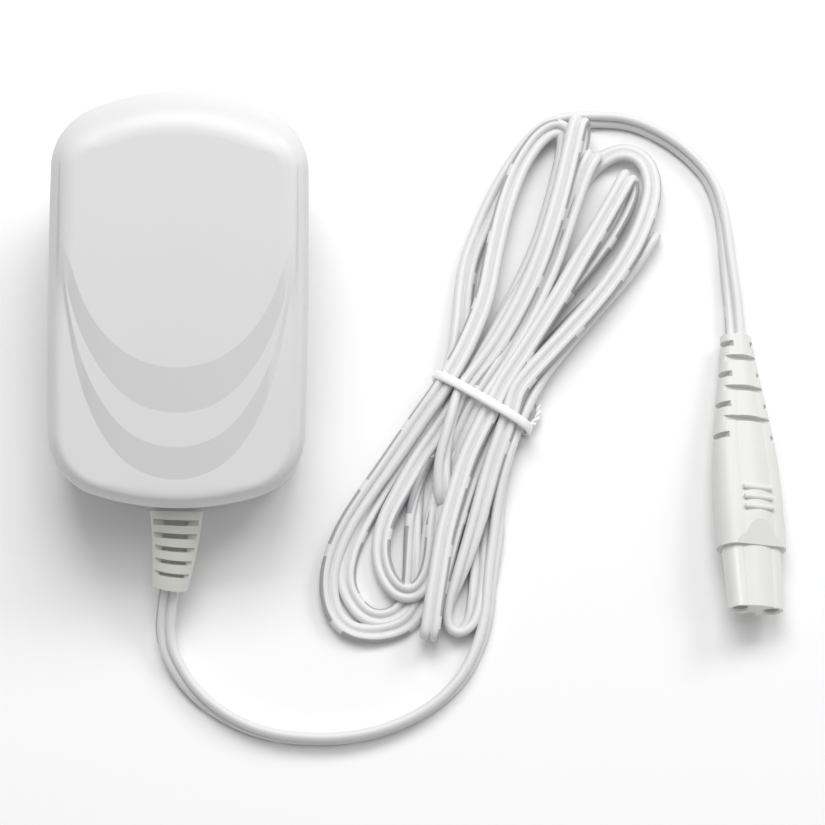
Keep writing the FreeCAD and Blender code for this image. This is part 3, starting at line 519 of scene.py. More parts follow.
@dataclass(frozen=True)
class Sleeved(Finish):
    """A capacitor can: a dark shrink sleeve, with the bare aluminium top showing."""

    colour: tuple = (0.02, 0.025, 0.05)
    metal: tuple = (0.60, 0.61, 0.62)

    def inputs(self, surface: Surface) -> dict:
        """Works out what goes into the shader.

        Args:
            surface: the material's tree.

        Returns:
            Values and links by the name of their socket.
        """
        folds = surface.noise(1.6, 3.0)
        bare = surface.facing(UPWARD).step(0.9, 0.96)
        sleeve = surface.blend(folds * 0.3, tint(self.colour), tint(self.colour, 1.8))
        return {"Base Color": surface.blend(bare, sleeve, tint(self.metal)), "Metallic": bare * 0.85,
                "Roughness": 0.26 + folds * 0.14, "Coat Weight": 0.2,
                "Normal": surface.bump(folds, 0.3, 0.04)}


@dataclass(frozen=True)
class Jacket(Finish):
    """The cord's jacket: smooth extruded plastic, with broken grey marks along one core.

    It reads the cord's own map: metres along, share around.
    """

    colour: tuple = (0.72, 0.72, 0.725)
    mark: tuple = (0.34, 0.34, 0.35)
    period: float = 14.2
    dash: float = 0.83
    half_width: tuple = (0.073, 0.091)
    ragged: float = 0.012

    def inputs(self, surface: Surface) -> dict:
        """Works out what goes into the shader.

        Args:
            surface: the material's tree.

        Returns:
            Values and links by the name of their socket.
        """
        drawn = surface.node("ShaderNodeUVMap", {"uv_map": "cord"})
        along = surface.node("ShaderNodeSeparateXYZ", None, {"Vector": drawn}, "X")
        around = surface.node("ShaderNodeSeparateXYZ", None, {"Vector": drawn}, "Y")
        ink = surface.noise(0.25, 3.0, 0.7)
        soft = surface.noise(9.0, 2.0)
        edge = abs(around - 0.5) + (ink - 0.5) * self.ragged
        dash = ((along / (self.period * MM)).fraction() < self.dash) * (1.0 - edge.step(*self.half_width))
        colour = surface.blend(soft, tint(self.colour, 0.975), tint(self.colour, 1.02))
        lines = surface.node("ShaderNodeCombineXYZ", None, {"X": along * 30.0, "Y": around * 900.0})
        draw = surface.node("ShaderNodeTexNoise", {"noise_dimensions": "2D"}, {"Vector": lines, "Scale": 1.0})
        return {
            "Base Color": surface.blend(dash * (0.62 + ink * 0.5), colour, tint(self.mark)),
            "Roughness": 0.36 + soft * 0.06 + ink * 0.05, "Subsurface Weight": 0.12,
            "Subsurface Radius": (0.001, 0.001, 0.001), "Subsurface Scale": 1.0,
            "Normal": surface.bump(draw * 0.5 + ink * 0.3, 0.25, 0.01)}


@dataclass(frozen=True)
class Table(Finish):
    """The pale table top."""

    colour: tuple = (0.90, 0.90, 0.90)

    def inputs(self, surface: Surface) -> dict:
        """Works out what goes into the shader.

        Args:
            surface: the material's tree.

        Returns:
            Values and links by the name of their socket.
        """
        fine = surface.noise(0.6, 3.0)
        return {"Base Color": tint(self.colour), "Roughness": 0.75 + fine * 0.1,
                "Specular IOR Level": 0.2, "Normal": surface.bump(fine, 0.1, 0.01)}


def build_finishes() -> dict[str, bpy.types.Material]:
    """Makes a material for each of the record's slots, and copper.

    Returns:
        The materials, by slot.
    """
    off_white = (0.705, 0.705, 0.665)
    lengthways = (0.0, math.pi / 2, 0.0)
    finishes = {
        "housing": SteppedFace((0.70, 0.70, 0.70), 0.40, 0.30, 0.010, 0.012, 22.0, coat=0.06, glow=0.06),
        "relief": Moulded(off_white, 0.48, 0.22, 0.010, 0.03, 7.0, sheen=0.15, glow=0.05),
        "grip": Moulded((0.70, 0.70, 0.684), 0.46, 0.22, 0.010, 0.03, 9.0, sheen=0.12, glow=0.05),
        "nose": Moulded((0.72, 0.72, 0.70), 0.30, 0.30, 0.006, 0.03, 6.0, coat=0.15, glow=0.08),
        "cord_jacket": Jacket(),
        "tie": Moulded((0.87, 0.87, 0.865), 0.22, 0.5, 0.006, 0.01, 6.0, coat=0.4, glow=0.2),
        "blade_metal": Plated((0.72, 0.71, 0.68), 0.22, (1.0, 1.0, 0.06)),
        "contact_metal": Plated((0.76, 0.66, 0.42), 0.28, (1.0, 0.06, 1.0)),
        "copper": Plated((0.72, 0.30, 0.13), 0.25, (1.0, 1.0, 1.0)),
        "board": Laminate(),
        "fibre": Moulded((0.10, 0.10, 0.10), 0.75, 0.4, 0.05, 0.2, 3.0),
        "ferrite": Ground(),
        "former": Moulded((0.03, 0.03, 0.03), 0.42, 0.4, 0.02, 0.1, 5.0),
        "coil_tape": Banded((0.72, 0.50, 0.05), (0.60, 0.40, 0.03), 1.9, 0.12),
        "can_sleeve": Sleeved(),
        "package": Moulded((0.025, 0.025, 0.027), 0.55, 0.18, 0.02, 0.15, 3.0),
        "resistor_coat": Banded((0.12, 0.30, 0.20), (0.30, 0.10, 0.02), 1.7, 0.35, lengthways),
        "disc_coat": Moulded((0.05, 0.14, 0.36), 0.30, 0.6, 0.03, 0.08, 2.0, coat=0.5),
        "film_case": Moulded((0.50, 0.07, 0.04), 0.28, 0.6, 0.01, 0.06, 2.0, coat=0.3),
        "wire_red": Moulded((0.50, 0.03, 0.02), 0.35, 0.3, 0.006, 0.04, 3.0),
        "wire_white": Moulded((0.76, 0.76, 0.74), 0.36, 0.3, 0.006, 0.03, 3.0),
    }
    return {slot: finish.dress(slot + "_finish") for slot, finish in finishes.items()}


def link(name: str, data: bpy.types.ID) -> bpy.types.Object:
    """Links new data to the scene.

    Args:
        name: the object's name.
        data: its mesh, curve, light or camera.

    Returns:
        The object.
    """
    made = bpy.data.objects.new(name, data)
    bpy.context.scene.collection.objects.link(made)
    return made


def plain_mesh(holder: bpy.types.Object) -> bpy.types.Mesh:
    """Returns an object's shape, with its modifiers, as a mesh of its own."""
    return bpy.data.meshes.new_from_object(holder.evaluated_get(bpy.context.evaluated_depsgraph_get()))


def frame_at(place: Vector, *ways: Vector) -> Matrix:
    """Returns a frame at a place, by its X, Y and Z ways."""
    return Matrix.Translation(place) @ Matrix(ways).transposed().to_4x4()


def grid(across: tuple, along: tuple = (0.0,)) -> list[tuple]:
    """Returns a point for every pair of a place across and one along."""
    return [(x, y) for x in across for y in along]


def make_object(name: str, mesh: bpy.types.Mesh, material: bpy.types.Material) -> bpy.types.Object:
    """Links a mesh as a smooth object at the origin.

    Args:
        name: the piece's name.
        mesh: its mesh, in the row frame.
        material: its finish.

    Returns:
        The object.
    """
    for face in mesh.polygons:
        face.use_smooth = True
    mesh.materials.clear()
    mesh.materials.append(material)
    return link(name, mesh)


def sweep(name: str, frames: list[Matrix], section: list[tuple], shares: list[float],
          closed: bool) -> bpy.types.Mesh:
    """Carries a section along a row of frames, and maps it.

    Args:
        name: the mesh's name.
        frames: places along the path, X and Y across it.
        section: the section's points, in metres.
        shares: how far round the section each point is, 0 to 1.
        closed: whether the last frame joins the first.

    Returns:
        The mesh, with a map of metres along and share around, named cord.
    """
    mesh = bpy.data.meshes.new(name)
    build = bmesh.new()
    layer = build.loops.layers.uv.new("cord")
    rings, along, previous = [], [], None
    for frame in frames:
        rings.append([build.verts.new(frame @ Vector((x, y, 0.0))) for x, y in section])
        here = frame.translation
        along.append(along[-1] + (here - previous).length if along else 0.0)
        previous = here
    if closed:
        rings.append(rings[0])
        along.append(along[-1] + (frames[0].translation - previous).length)
    count = len(section)
    for near, far, start, end in zip(rings, rings[1:], along, along[1:]):
        for k in range(count):
            after = (k + 1) % count
            face = build.faces.new((near[k], near[after], far[after], far[k]))
            v0, v1 = shares[k], shares[k + 1]
            for loop, u, v in zip(face.loops, (start, start, end, end), (v0, v1, v1, v0)):
                loop[layer].uv = (u, v)
    if not closed:
        build.faces.new(list(reversed(rings[0])))
        build.faces.new(rings[-1])
    build.normal_update()
    build.to_mesh(mesh)
    build.free()
    return mesh


def smooth_line(name: str, controls: list[Vector], resolution: int) -> list[Vector]:
    """Lays one smooth open curve by its control points.

    Args:
        name: the curve's name.
        controls: its control points, in metres.
        resolution: how finely each stretch is drawn.

    Returns:
        The points along the curve.
    """
    curve = bpy.data.curves.new(name, "CURVE")
    curve.dimensions = "3D"
    line = curve.splines.new("NURBS")
    line.points.add(len(controls) - 1)
    for point, place in zip(line.points, controls):
        point.co = (*place, 1.0)
    line.order_u = 3
    line.use_endpoint_u = True
    line.resolution_u = resolution
    holder = link(name, curve)
    mesh = plain_mesh(holder)
    points = [vertex.co.copy() for vertex in mesh.vertices]
    bpy.data.objects.remove(holder)
    bpy.data.curves.remove(curve)
    bpy.data.meshes.remove(mesh)
    return points


class Recipe(Graph):
    """A Geometry Nodes tree with named sizes, grown on a mesh and turned into a plain one."""

    def __init__(self, name: str, sizes: dict[str, float]) -> None:
        """Starts a tree.

        Args:
            name: its name.
            sizes: its inputs, by name.
        """
        super().__init__(bpy.data.node_groups.new(name, "GeometryNodeTree"))
        face = self.tree.interface
        face.new_socket("Geometry", in_out="INPUT", socket_type="NodeSocketGeometry")
        self.sizes = sizes
        self.keys = {size: face.new_socket(size, in_out="INPUT", socket_type="NodeSocketFloat").identifier
                     for size in sizes}
        face.new_socket("Geometry", in_out="OUTPUT", socket_type="NodeSocketGeometry")
        self.start = self.tree.nodes.new("NodeGroupInput")
        self.end = self.tree.nodes.new("NodeGroupOutput")

    def given(self, name: str) -> Signal:
        """Returns one of the tree's inputs."""
        return Signal(self, self.start.outputs[name])

    def circle(self, radius: Signal, corners: int) -> Signal:
        """Returns a round section of a wire."""
        return self.node("GeometryNodeCurvePrimitiveCircle", None,
                         {"Resolution": corners, "Radius": radius}, "Curve")

    def carried(self, line: Signal, section: Signal) -> Signal:
        """Returns a closed solid of that section along a line."""
        return self.node("GeometryNodeCurveToMesh", None,
                         {"Curve": line, "Profile Curve": section, "Fill Caps": True})

    def grow(self, shape: Signal, base: bpy.types.Mesh, material: bpy.types.Material) -> bpy.types.Mesh:
        """Ends the tree, grows it and hands back a plain mesh.

        Args:
            shape: the tree's last geometry.
            base: the mesh that it grows on.
            material: the finish that it gets.

        Returns:
            The grown mesh.
        """
        whole = self.node("GeometryNodeRealizeInstances", None, {"Geometry": shape})
        dressed = self.node("GeometryNodeSetMaterial", None, {"Geometry": whole, "Material": material})
        self.tree.links.new(dressed.socket, self.end.inputs["Geometry"])
        holder = link(self.tree.name, base)
        modifier = holder.modifiers.new(self.tree.name, "NODES")
        modifier.node_group = self.tree
        for size, key in self.keys.items():
            modifier[key] = float(self.sizes[size])
        grown = plain_mesh(holder)
        holder.modifiers.remove(modifier)
        bpy.data.objects.remove(holder)
        return grown


def carry_frames(points: list[Vector], leans: list[float], rest: float, level_from: float = 0.55,
                 ease: float = 0.10) -> list[Matrix]:
    """Turns a section along a path without a twist, drawn slowly to each lean.

    Args:
        points: the path.
        leans: degrees from flat at each point.
        rest: the radius of each core, which lies on the table and not in it.
        level_from: how level the path must run to be drawn, as the cosine of its rise.
        ease: how far it is drawn at each point, 0 to 1.

    Returns:
        A frame at each point: X is the flat way, Z runs along the path.
    """
    up = Vector((0.0, 0.0, 1.0))
    frames, wide, before = [], Vector((1.0, 0.0, 0.0)), None
    for number, point in enumerate(points):
        ahead = points[min(number + 1, len(points) - 1)] - points[max(number - 1, 0)]
        ahead.normalize()
        if before is not None:
            wide = before.rotation_difference(ahead) @ wide
        level = up.cross(ahead)
        if level.length > level_from:
            level.normalize()
            over = ahead.cross(level)
            lean = math.radians(leans[number])
            aim = level * math.cos(lean) + over * math.sin(lean)
            if aim.dot(wide) < 0:
                aim = -aim
            wide = wide.lerp(aim, 1.0 if number == 0 else ease)
        wide = (wide - ahead * wide.dot(ahead)).normalized()
        dip = rest * (1 + abs(wide.z)) - point.z
        frames.append(frame_at(point + up * max(dip, 0.0), wide, ahead.cross(wide), ahead))
        before = ahead
    return frames


def rounded(turn: float, fullness: float) -> tuple:
    """Returns a point on an oval of half-width 1, fuller at its corners than a circle's 2."""
    parts = (math.cos(turn), math.sin(turn))
    return tuple(math.copysign(abs(part) ** (2 / fullness), part) for part in parts)


def seat_of_housing() -> Matrix:
    """Returns how the housing's own frame lies, from the middle of its back."""
    return Matrix.Translation(Vector(BACK_MIDDLE) * MM) @ Matrix.Rotation(TILT, 4, "X")


def middle_of(name: str) -> Vector:
    """Returns the middle of a solid's box, in the housing's own frame."""
    low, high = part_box(name)
    return seat_of_housing().inverted() @ ((low + high) / 2)


@dataclass
class TwinCord:
    """The flat twin cord, from the strain relief through the hank to the connector.

    A row of the route is a place and how the cord leans there, and it lies flat where no lean is named.
    The lead's and the tail's places are points. The hank's are along and across its middle line, and
    the height.
    """

    lobe: float = 0.95
    web: float = 0.2
    length: float = 1.48
    exit: tuple = (-1.155, -45.929, 8.06)
    foot: tuple = (29.47, -54.72)
    head: tuple = (78.80, 51.02)
    read_at: float = 5.8
    sight: float = 0.27
    fineness: int = 8
    arc_steps: int = 14
    lead: list = field(default_factory=lambda: [
        (-1.0, -45.07, 8.55), (-2.0, -50.6, 5.4, EASY), (-2.0, -54.6, 3.7, HALF), (-0.9, -58.6, 2.7, STEEP),
        (3.6, -65.3, 2.0, EDGE), (10.7, -70.4, 1.95, EDGE), (18.4, -73.3, 1.95, EDGE),
        (27.9, -74.0, 1.95, EDGE), (35.7, -73.2, 1.95, EDGE), (43.3, -70.8, 1.95, EDGE),
        (50.6, -66.4, 1.95, STEEP), (56.0, -60.2, 1.9, STEEP), (59.3, -51.4, 1.9, STEEP),
        (59.9, -42.6, 1.9, HALF)])
    tail: list = field(default_factory=lambda: [
        (79.8, 51.2, 1.5, STEEP), (86.2, 51.0, 1.8, STEEP), (92.3, 48.5, 1.8, STEEP),
        (98.2, 44.3, 1.8, STEEP), (102.9, 38.8, 1.8, STEEP), (105.0, 31.6, 1.8, STEEP),
        (105.8, 23.0, 2.0, HALF), (106.8, 14.5, 2.4, EASY), (107.2, 8.5, 2.6, EASY),
        (107.35, 5.5, 2.7, EASY)])
    hank: list = field(default_factory=lambda: [
        # in from the lead, over the waist, and out to the low tip at the right
        (30.9, 20.4, 2.1, EDGE), (38.7, 17.4, 2.6, OVER), (45.2, 15.7, 3.3, BACK), (50.5, 14.4, 3.9),
        (54.7, 13.8, 4.0), (59.5, 13.6, 3.9), (65.0, 13.9, 3.6), (72.0, 15.4, 3.4), (80.0, 17.4, 3.2),
        (89.6, 20.0, 3.1), (94.5, 20.8, 3.3), (97.4, 21.1, 3.5), (99.2, 21.3, 3.3), (99.9, 21.4, 2.2),
        (99.2, 21.3, 1.1), (97.0, 21.0, 0.95), (92.0, 19.9, 0.95), (84.0, 17.6, 0.95), (75.0, 14.8, 1.0),
        (66.0, 12.4, 1.4), (60.0, 11.0, 1.9), (54.7, 10.4, 2.15),
        # right-hand lower loop
        (49.5, 11.1, 1.7), (44.0, 12.4, 1.3), (36.0, 14.9, 1.1), (28.5, 18.1, 1.2, EASY),
        (22.5, 20.8, 1.6, HALF), (17.0, 22.7, 1.9, STEEP), (13.2, 23.3, 1.9, EDGE), (10.9, 21.7, 1.9, EDGE),
        (11.6, 19.2, 2.1, EDGE), (15.2, 17.7, 2.8, STEEP), (20.6, 17.2, 3.6, EASY), (27.6, 16.4, 4.3),
        (36.1, 14.9, 4.9), (43.8, 13.4, 5.3), (50.0, 12.7, 5.7), (54.7, 12.1, 5.95),
        # right-hand upper loop, in front
        (59.5, 11.1, 5.95), (64.0, 12.1, 5.9), (70.0, 13.9, 5.8), (79.0, 16.5, 5.7), (86.5, 18.3, 5.7),
        (95.0, 19.3, 5.6, EASY), (102.0, 19.0, 4.7, EASY), (108.0, 17.8, 3.7, EASY),
        (112.0, 15.0, 3.0, EASY), (113.3, 11.6, 2.6, EASY), (112.3, 8.5, 2.2, EASY), (109.4, 6.1, 1.7),
        (105.8, 4.6, 1.3), (101.5, 4.3, 1.0), (95.0, 4.8, 1.2, HALF), (86.0, 6.0, 1.9, EDGE),
        (76.0, 7.6, 2.0, BACK), (66.0, 9.2, 2.2), (60.0, 9.8, 3.3), (54.7, 9.9, 4.05),
        # lower finger with the dashes
        (49.0, 10.1, 3.7), (43.0, 10.4, 3.5), (36.0, 11.2, 3.8), (29.0, 12.2, 4.2), (22.0, 13.6, 4.4),
        (15.5, 15.0, 4.1), (11.0, 16.3, 3.4), (8.9, 16.9, 3.1), (8.1, 17.1, 4.4), (8.9, 16.9, 5.9),
        (11.0, 16.2, 6.2), (15.5, 14.7, 6.4), (19.3, 13.6, 6.4), (27.3, 11.1, 6.3), (33.6, 9.9, 6.1),
        (42.6, 8.4, 6.0), (49.0, 8.2, 6.0), (54.7, 8.3, 5.95),
        # upper finger inside the right-hand loop
        (59.5, 8.2, 5.9), (65.0, 8.9, 5.8), (73.0, 9.8, 5.7), (81.0, 10.6, 5.6), (89.0, 11.0, 5.5),
        (97.0, 11.6, 5.4), (104.0, 12.0, 5.2), (107.2, 12.1, 5.0), (108.6, 12.3, 3.9), (107.6, 13.0, 2.9),
        (104.5, 14.4, 2.6, EASY), (97.0, 14.4, 2.5, EASY), (90.0, 13.2, 2.6), (80.0, 10.9, 3.1),
        (70.0, 8.4, 3.8), (62.0, 6.8, 4.05), (54.7, 6.1, 4.05),
        # short lower finger, its near side on edge
        (49.0, 6.9, 3.0), (44.0, 8.2, 1.8), (39.0, 8.9, 1.2), (35.5, 9.2, 1.1), (33.4, 9.2, 1.2),
        (32.4, 8.9, 2.4), (33.4, 8.2, 3.7, EASY), (36.0, 6.6, 4.5, STEEP), (40.5, 4.3, 5.1, EDGE),
        (46.5, 2.7, 5.8, EDGE), (50.5, 2.1, 6.0, HALF), (54.7, 1.7, 5.95),
        # long upper finger over the tail
        (59.0, 2.6, 6.2), (65.3, 3.8, 6.6), (73.3, 4.4, 7.0), (82.2, 4.3, 7.3), (91.4, 3.3, 7.4),
        (99.7, 1.8, 7.3), (107.0, 0.2, 7.2), (112.0, -1.0, 7.1), (114.0, -1.4, 6.8), (114.9, -1.1, 5.6),
        (113.6, -0.3, 4.6), (110.0, 0.9, 4.6), (104.0, 2.1, 4.9), (95.0, 3.7, 5.0), (85.0, 4.6, 4.9),
        (75.0, 3.3, 4.7), (66.0, 3.0, 4.6), (60.0, 2.5, 4.3), (54.7, 2.2, 4.05),
        # inner left-hand loop
        (49.0, 1.6, 3.6), (44.0, 0.9, 3.2), (38.4, 0.1, 2.9), (31.8, -0.2, 2.6, EASY),
        (25.0, -0.4, 2.4, EASY), (19.3, 1.2, 2.4, EASY), (15.4, 4.2, 2.6, EASY), (13.4, 8.0, 2.9, EASY),
        (14.6, 11.1, 2.9), (18.4, 12.0, 2.9), (23.5, 10.8, 2.9), (30.0, 8.0, 2.7), (36.0, 6.6, 2.4),
        (42.0, 5.8, 2.6), (48.5, 5.1, 4.6, EASY), (54.7, 4.95, 6.1, HALF),
        # small upper tip
        (59.0, 5.5, 6.0, EASY), (65.0, 6.5, 5.7), (75.0, 6.8, 5.4), (85.0, 6.5, 5.2), (93.7, 5.4, 5.2),
        (100.2, 4.5, 5.3), (105.5, 3.9, 5.3), (108.4, 4.0, 5.2), (109.6, 4.1, 4.1), (108.4, 4.0, 3.1),
        (105.5, 3.9, 3.0), (99.0, 4.3, 3.0), (92.0, 5.4, 3.0), (85.0, 6.2, 2.9), (75.0, 6.6, 2.6),
        (65.0, 6.4, 2.3), (54.7, 6.3, 2.15),
        # outer left-hand loop
        (49.0, 5.9, 1.6, HALF), (42.0, 5.2, 1.9, EDGE), (35.0, 6.0, 1.5, BACK), (28.0, 8.0, 0.95),
        (20.0, 11.2, 0.95), (13.0, 13.0, 0.95), (9.0, 12.6, 1.0), (6.0, 10.4, 1.1), (3.4, 6.6, 1.2, EASY),
        (2.5, 2.6, 1.4, EASY), (3.9, -1.0, 1.7, EASY), (7.4, -4.0, 2.0, EASY), (12.6, -6.2, 2.4, EASY),
        (20.2, -6.9, 2.8, EASY), (28.1, -6.0, 3.3, EASY), (36.7, -4.6, 3.9), (45.7, -3.4, 4.9),
        (50.5, -2.6, 5.6), (54.7, -2.0, 5.95),
        # upper left-hand loop
        (59.5, -1.7, 5.8), (64.4, -1.6, 5.5), (73.5, -2.2, 5.1), (82.7, -4.8, 4.7), (92.0, -6.9, 4.3),
        (99.0, -7.8, 4.0, EASY), (104.0, -7.7, 3.8, EASY), (108.6, -6.8, 3.5, EASY),
        (111.3, -4.9, 3.2, EASY), (111.3, -2.6, 3.0, EASY), (107.5, -0.9, 2.6), (97.7, 1.2, 2.3),
        (88.0, 2.8, 2.1), (78.0, 3.0, 2.0), (68.0, 2.8, 2.1), (60.0, 2.5, 2.15), (54.7, 2.4, 2.15),
        # second left-hand loop
        (49.0, 1.7, 1.6, HALF), (42.0, 1.3, 1.9, EDGE), (34.0, 2.3, 1.5, BACK), (27.0, 4.6, 0.95),
        (20.0, 7.9, 0.95), (14.2, 10.4, 0.95), (10.0, 10.2, 0.95), (7.2, 7.8, 0.95), (6.4, 4.6, 0.95),
        (7.8, 1.0, 0.95), (10.8, -2.2, 0.95), (16.1, -3.9, 0.95), (22.0, -4.2, 1.0), (32.4, -3.6, 1.2),
        (39.1, -2.6, 1.8), (46.7, -2.0, 2.9), (54.7, -1.6, 4.05),
        # out to the tail, under the left-hand loop
        (58.5, -1.9, 3.8), (62.9, -2.8, 3.2), (69.1, -5.0, 2.4), (73.1, -6.6, 2.0), (78.9, -8.4, 1.6),
        (85.0, -9.0, 1.4), (92.5, -9.4, 1.3, EASY), (99.0, -9.2, 1.3, EASY), (105.0, -8.4, 1.3, EASY),
        (110.0, -6.8, 1.4, HALF), (113.2, -4.2, 1.4, HALF)])

    def way(self) -> Vector:
        """Returns the way of the hank's middle line on the table."""
        return (Vector(self.head) - Vector(self.foot)).normalized()

    def station(self, along: float, across: float, height: float) -> Vector:
        """Places a point of the hank.

        Args:
            along: from the foot of its middle line.
            across: to its right, as seen at the top layer's height.
            height: above the table; a lower point slides away along the line of sight.

        Returns:
            The point, in millimetres.
        """
        ahead = self.way()
        aside = Vector((ahead.y, -ahead.x))
        place = Vector(self.foot) + ahead * along + aside * across
        return Vector((place.x, place.y + (self.read_at - height) * self.sight, height))

    def route(self) -> tuple[list[Vector], list[float]]:
        """Strings the stretches of the route together.

        Returns:
            The route's points, in metres, and their leans in degrees.
        """
        points = [Vector(row[:3]) for row in self.lead]
        points += [self.station(*row[:3]) for row in self.hank]
        points += [Vector(row[:3]) for row in self.tail]
        leans = [(*row, FLAT)[3].value for row in self.lead + self.hank + self.tail]
        return [point * MM for point in points], leans

    def spline(self) -> tuple[list[Vector], list[float]]:
        """Lays one smooth curve by the route.

        Returns:
            The points along that curve, and the lean at each.
        """
        controls, leans = self.route()
        points = smooth_line("cord_line", controls, self.fineness)
        last = len(controls) - 1
        tilts = []
        for number in range(len(points)):
            spot = number / (len(points) - 1) * last
            low = min(int(spot), last - 1)
            change = (leans[low + 1] - leans[low] + 90.0) % 180.0 - 90.0
            tilts.append(leans[low] + change * (spot - low))
        return points, tilts

    def section(self) -> tuple[list[tuple], list[float]]:
        """Draws the two round cores with the web between them.

        Returns:
            The outline's points, in metres, and how far round it each is, 0 to 1.
        """
        half_turn = math.pi - math.asin(self.web / self.lobe)
        half, ring = self.arc_steps // 2, []
        for k in range(self.arc_steps + 1):
            turn = -half_turn + 2 * half_turn * k / self.arc_steps
            ring.append((self.lobe + self.lobe * math.cos(turn), self.lobe * math.sin(turn)))
        ring = ring[half:] + [(-x, -y) for x, y in ring] + ring[:half]
        steps = [math.dist(a, b) for a, b in zip(ring, ring[1:] + ring[:1])]
        shares, total = [0.0], sum(steps)
        for step in steps:
            shares.append(shares[-1] + step / total)
        return [(x * MM, y * MM) for x, y in ring], shares

    def build(self, material: bpy.types.Material, with_pieces: list[bpy.types.Object]) -> bpy.types.Object:
        """Args:
            material: its jacket.
            with_pieces: what sits on it; not used.

        Returns:
            The cord.
        """
        points, leans = self.spline()
        measured = sum((b - a).length for a, b in zip(points, points[1:]))
        LOG.info("cord: %d points, %.3f m", len(points), measured)
        ring, shares = self.section()
        mesh = sweep("twin_cord", carry_frames(points, leans, self.lobe * MM), ring, shares, False)
        cord = make_object("twin_cord", mesh, material)
        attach(cord, "root")
        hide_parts("cord_lead", "cord_hank", "cord_tail")
        return cord


@dataclass
class TwistTie:
    """The white tie round the hank's waist, with its two ends twisted together."""

    along: float = 54.7
    skew: float = -0.085
    middle: tuple = (6.1, 4.44)
    reach: tuple = (10.5, 3.86)
    fullness: float = 2.9
    steps: int = 96
    band: tuple = (0.95, 0.52)
    band_fullness: float = 2.5
    band_steps: int = 16
    end_radius: float = 0.38
    end_apart: float = 0.74
    end_route: list = field(default_factory=lambda: [
        (54.0, 16.3, 3.4), (54.7, 16.9, 2.8), (56.2, 17.2, 2.4), (57.6, 16.8, 2.0), (58.8, 16.1, 1.6)])
    curl_route: list = field(default_factory=lambda: [
        (53.6, 16.3, 3.0), (52.7, 17.3, 2.5), (51.9, 17.2, 1.9), (51.7, 16.2, 1.4), (52.2, 15.4, 1.2)])

    def ring(self, cord: TwinCord) -> bpy.types.Mesh:
        """Makes the band round the waist.

        Args:
            cord: the cord whose hank it holds.

        Returns:
            The band's mesh.
        """
        places = []
        for k in range(self.steps):
            out, up = rounded(2 * math.pi * k / self.steps, self.fullness)
            across = self.middle[0] + self.reach[0] * out
            flat = cord.station(self.along + self.skew * (across - self.middle[0]), across, cord.read_at)
            places.append(Vector((flat.x, flat.y, self.middle[1] + self.reach[1] * up)) * MM)
        centre = sum(places, Vector()) / self.steps
        axis = cord.way().to_3d()
        frames = []
        for k, place in enumerate(places):
            tangent = (places[(k + 1) % self.steps] - places[k - 1]).normalized()
            wide = (axis - tangent * axis.dot(tangent)).normalized()
            thick = tangent.cross(wide)
            if thick.dot(place - centre) < 0:
                wide, thick = -wide, -thick
            frames.append(frame_at(place, wide, thick, tangent))
        turns = [2 * math.pi * k / self.band_steps for k in range(self.band_steps)]
        corners = [rounded(turn, self.band_fullness) for turn in turns]
        section = [(self.band[0] * x * MM, self.band[1] * y * MM) for x, y in corners]
        shares = [k / self.band_steps for k in range(self.band_steps + 1)]
        return sweep("tie_band", frames, section, shares, True)

    def twisted(self, cord: TwinCord, route: list[tuple], turns: float, name: str,
                material: bpy.types.Material) -> bpy.types.Mesh:
        """Grows a pair of wires twisted about a short route.

        Args:
            cord: the cord whose hank gives the directions.
            route: points along, across and above the table.
            turns: how often the pair goes round.
            name: the mesh's name.
            material: the tie's finish.

        Returns:
            The pair's mesh.
        """
        points = smooth_line(name, [cord.station(*row) * MM for row in route], 10)
        path = bpy.data.meshes.new(name)
        path.from_pydata(points, [(k, k + 1) for k in range(len(points) - 1)], [])
        recipe = Recipe(name, {"Wire radius": self.end_radius * MM, "Turns": turns})
        line = recipe.node("GeometryNodeMeshToCurve", None, {"Mesh": recipe.given("Geometry")})
        share = recipe.node("GeometryNodeSplineParameter", output="Factor")
        tilt = share * recipe.given("Turns") * (2 * math.pi)
        line = recipe.node("GeometryNodeSetCurveTilt", None, {"Curve": line, "Tilt": tilt})
        radius = recipe.given("Wire radius")
        wire = recipe.circle(radius, 12)
        pair = []
        for side in (-self.end_apart, self.end_apart):
            shift = recipe.node("ShaderNodeCombineXYZ", None, {"X": radius * side})
            pair.append(recipe.node("GeometryNodeTransform", None, {"Geometry": wire, "Translation": shift}))
        shape = recipe.carried(line, recipe.node("GeometryNodeJoinGeometry", None, {"Geometry": pair}))
        return recipe.grow(shape, path, material)

    def build(self, cord: TwinCord, material: bpy.types.Material) -> bpy.types.Object:
        """Args:
            cord: the cord whose hank it holds.
            material: its finish.

        Returns:
            The tie.
        """
        build = bmesh.new()
        for part in (self.ring(cord), self.twisted(cord, self.end_route, 2.0, "tie_end", material),
                     self.twisted(cord, self.curl_route, 1.0, "tie_curl", material)):
            build.from_mesh(part)
        mesh = bpy.data.meshes.new("tie")
        build.to_mesh(mesh)
        build.free()
        tie = make_object("tie", mesh, material)
        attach(tie, "root")
        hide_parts("twist_tie")
        LOG.info("tie: %d faces", len(mesh.polygons))
        return tie


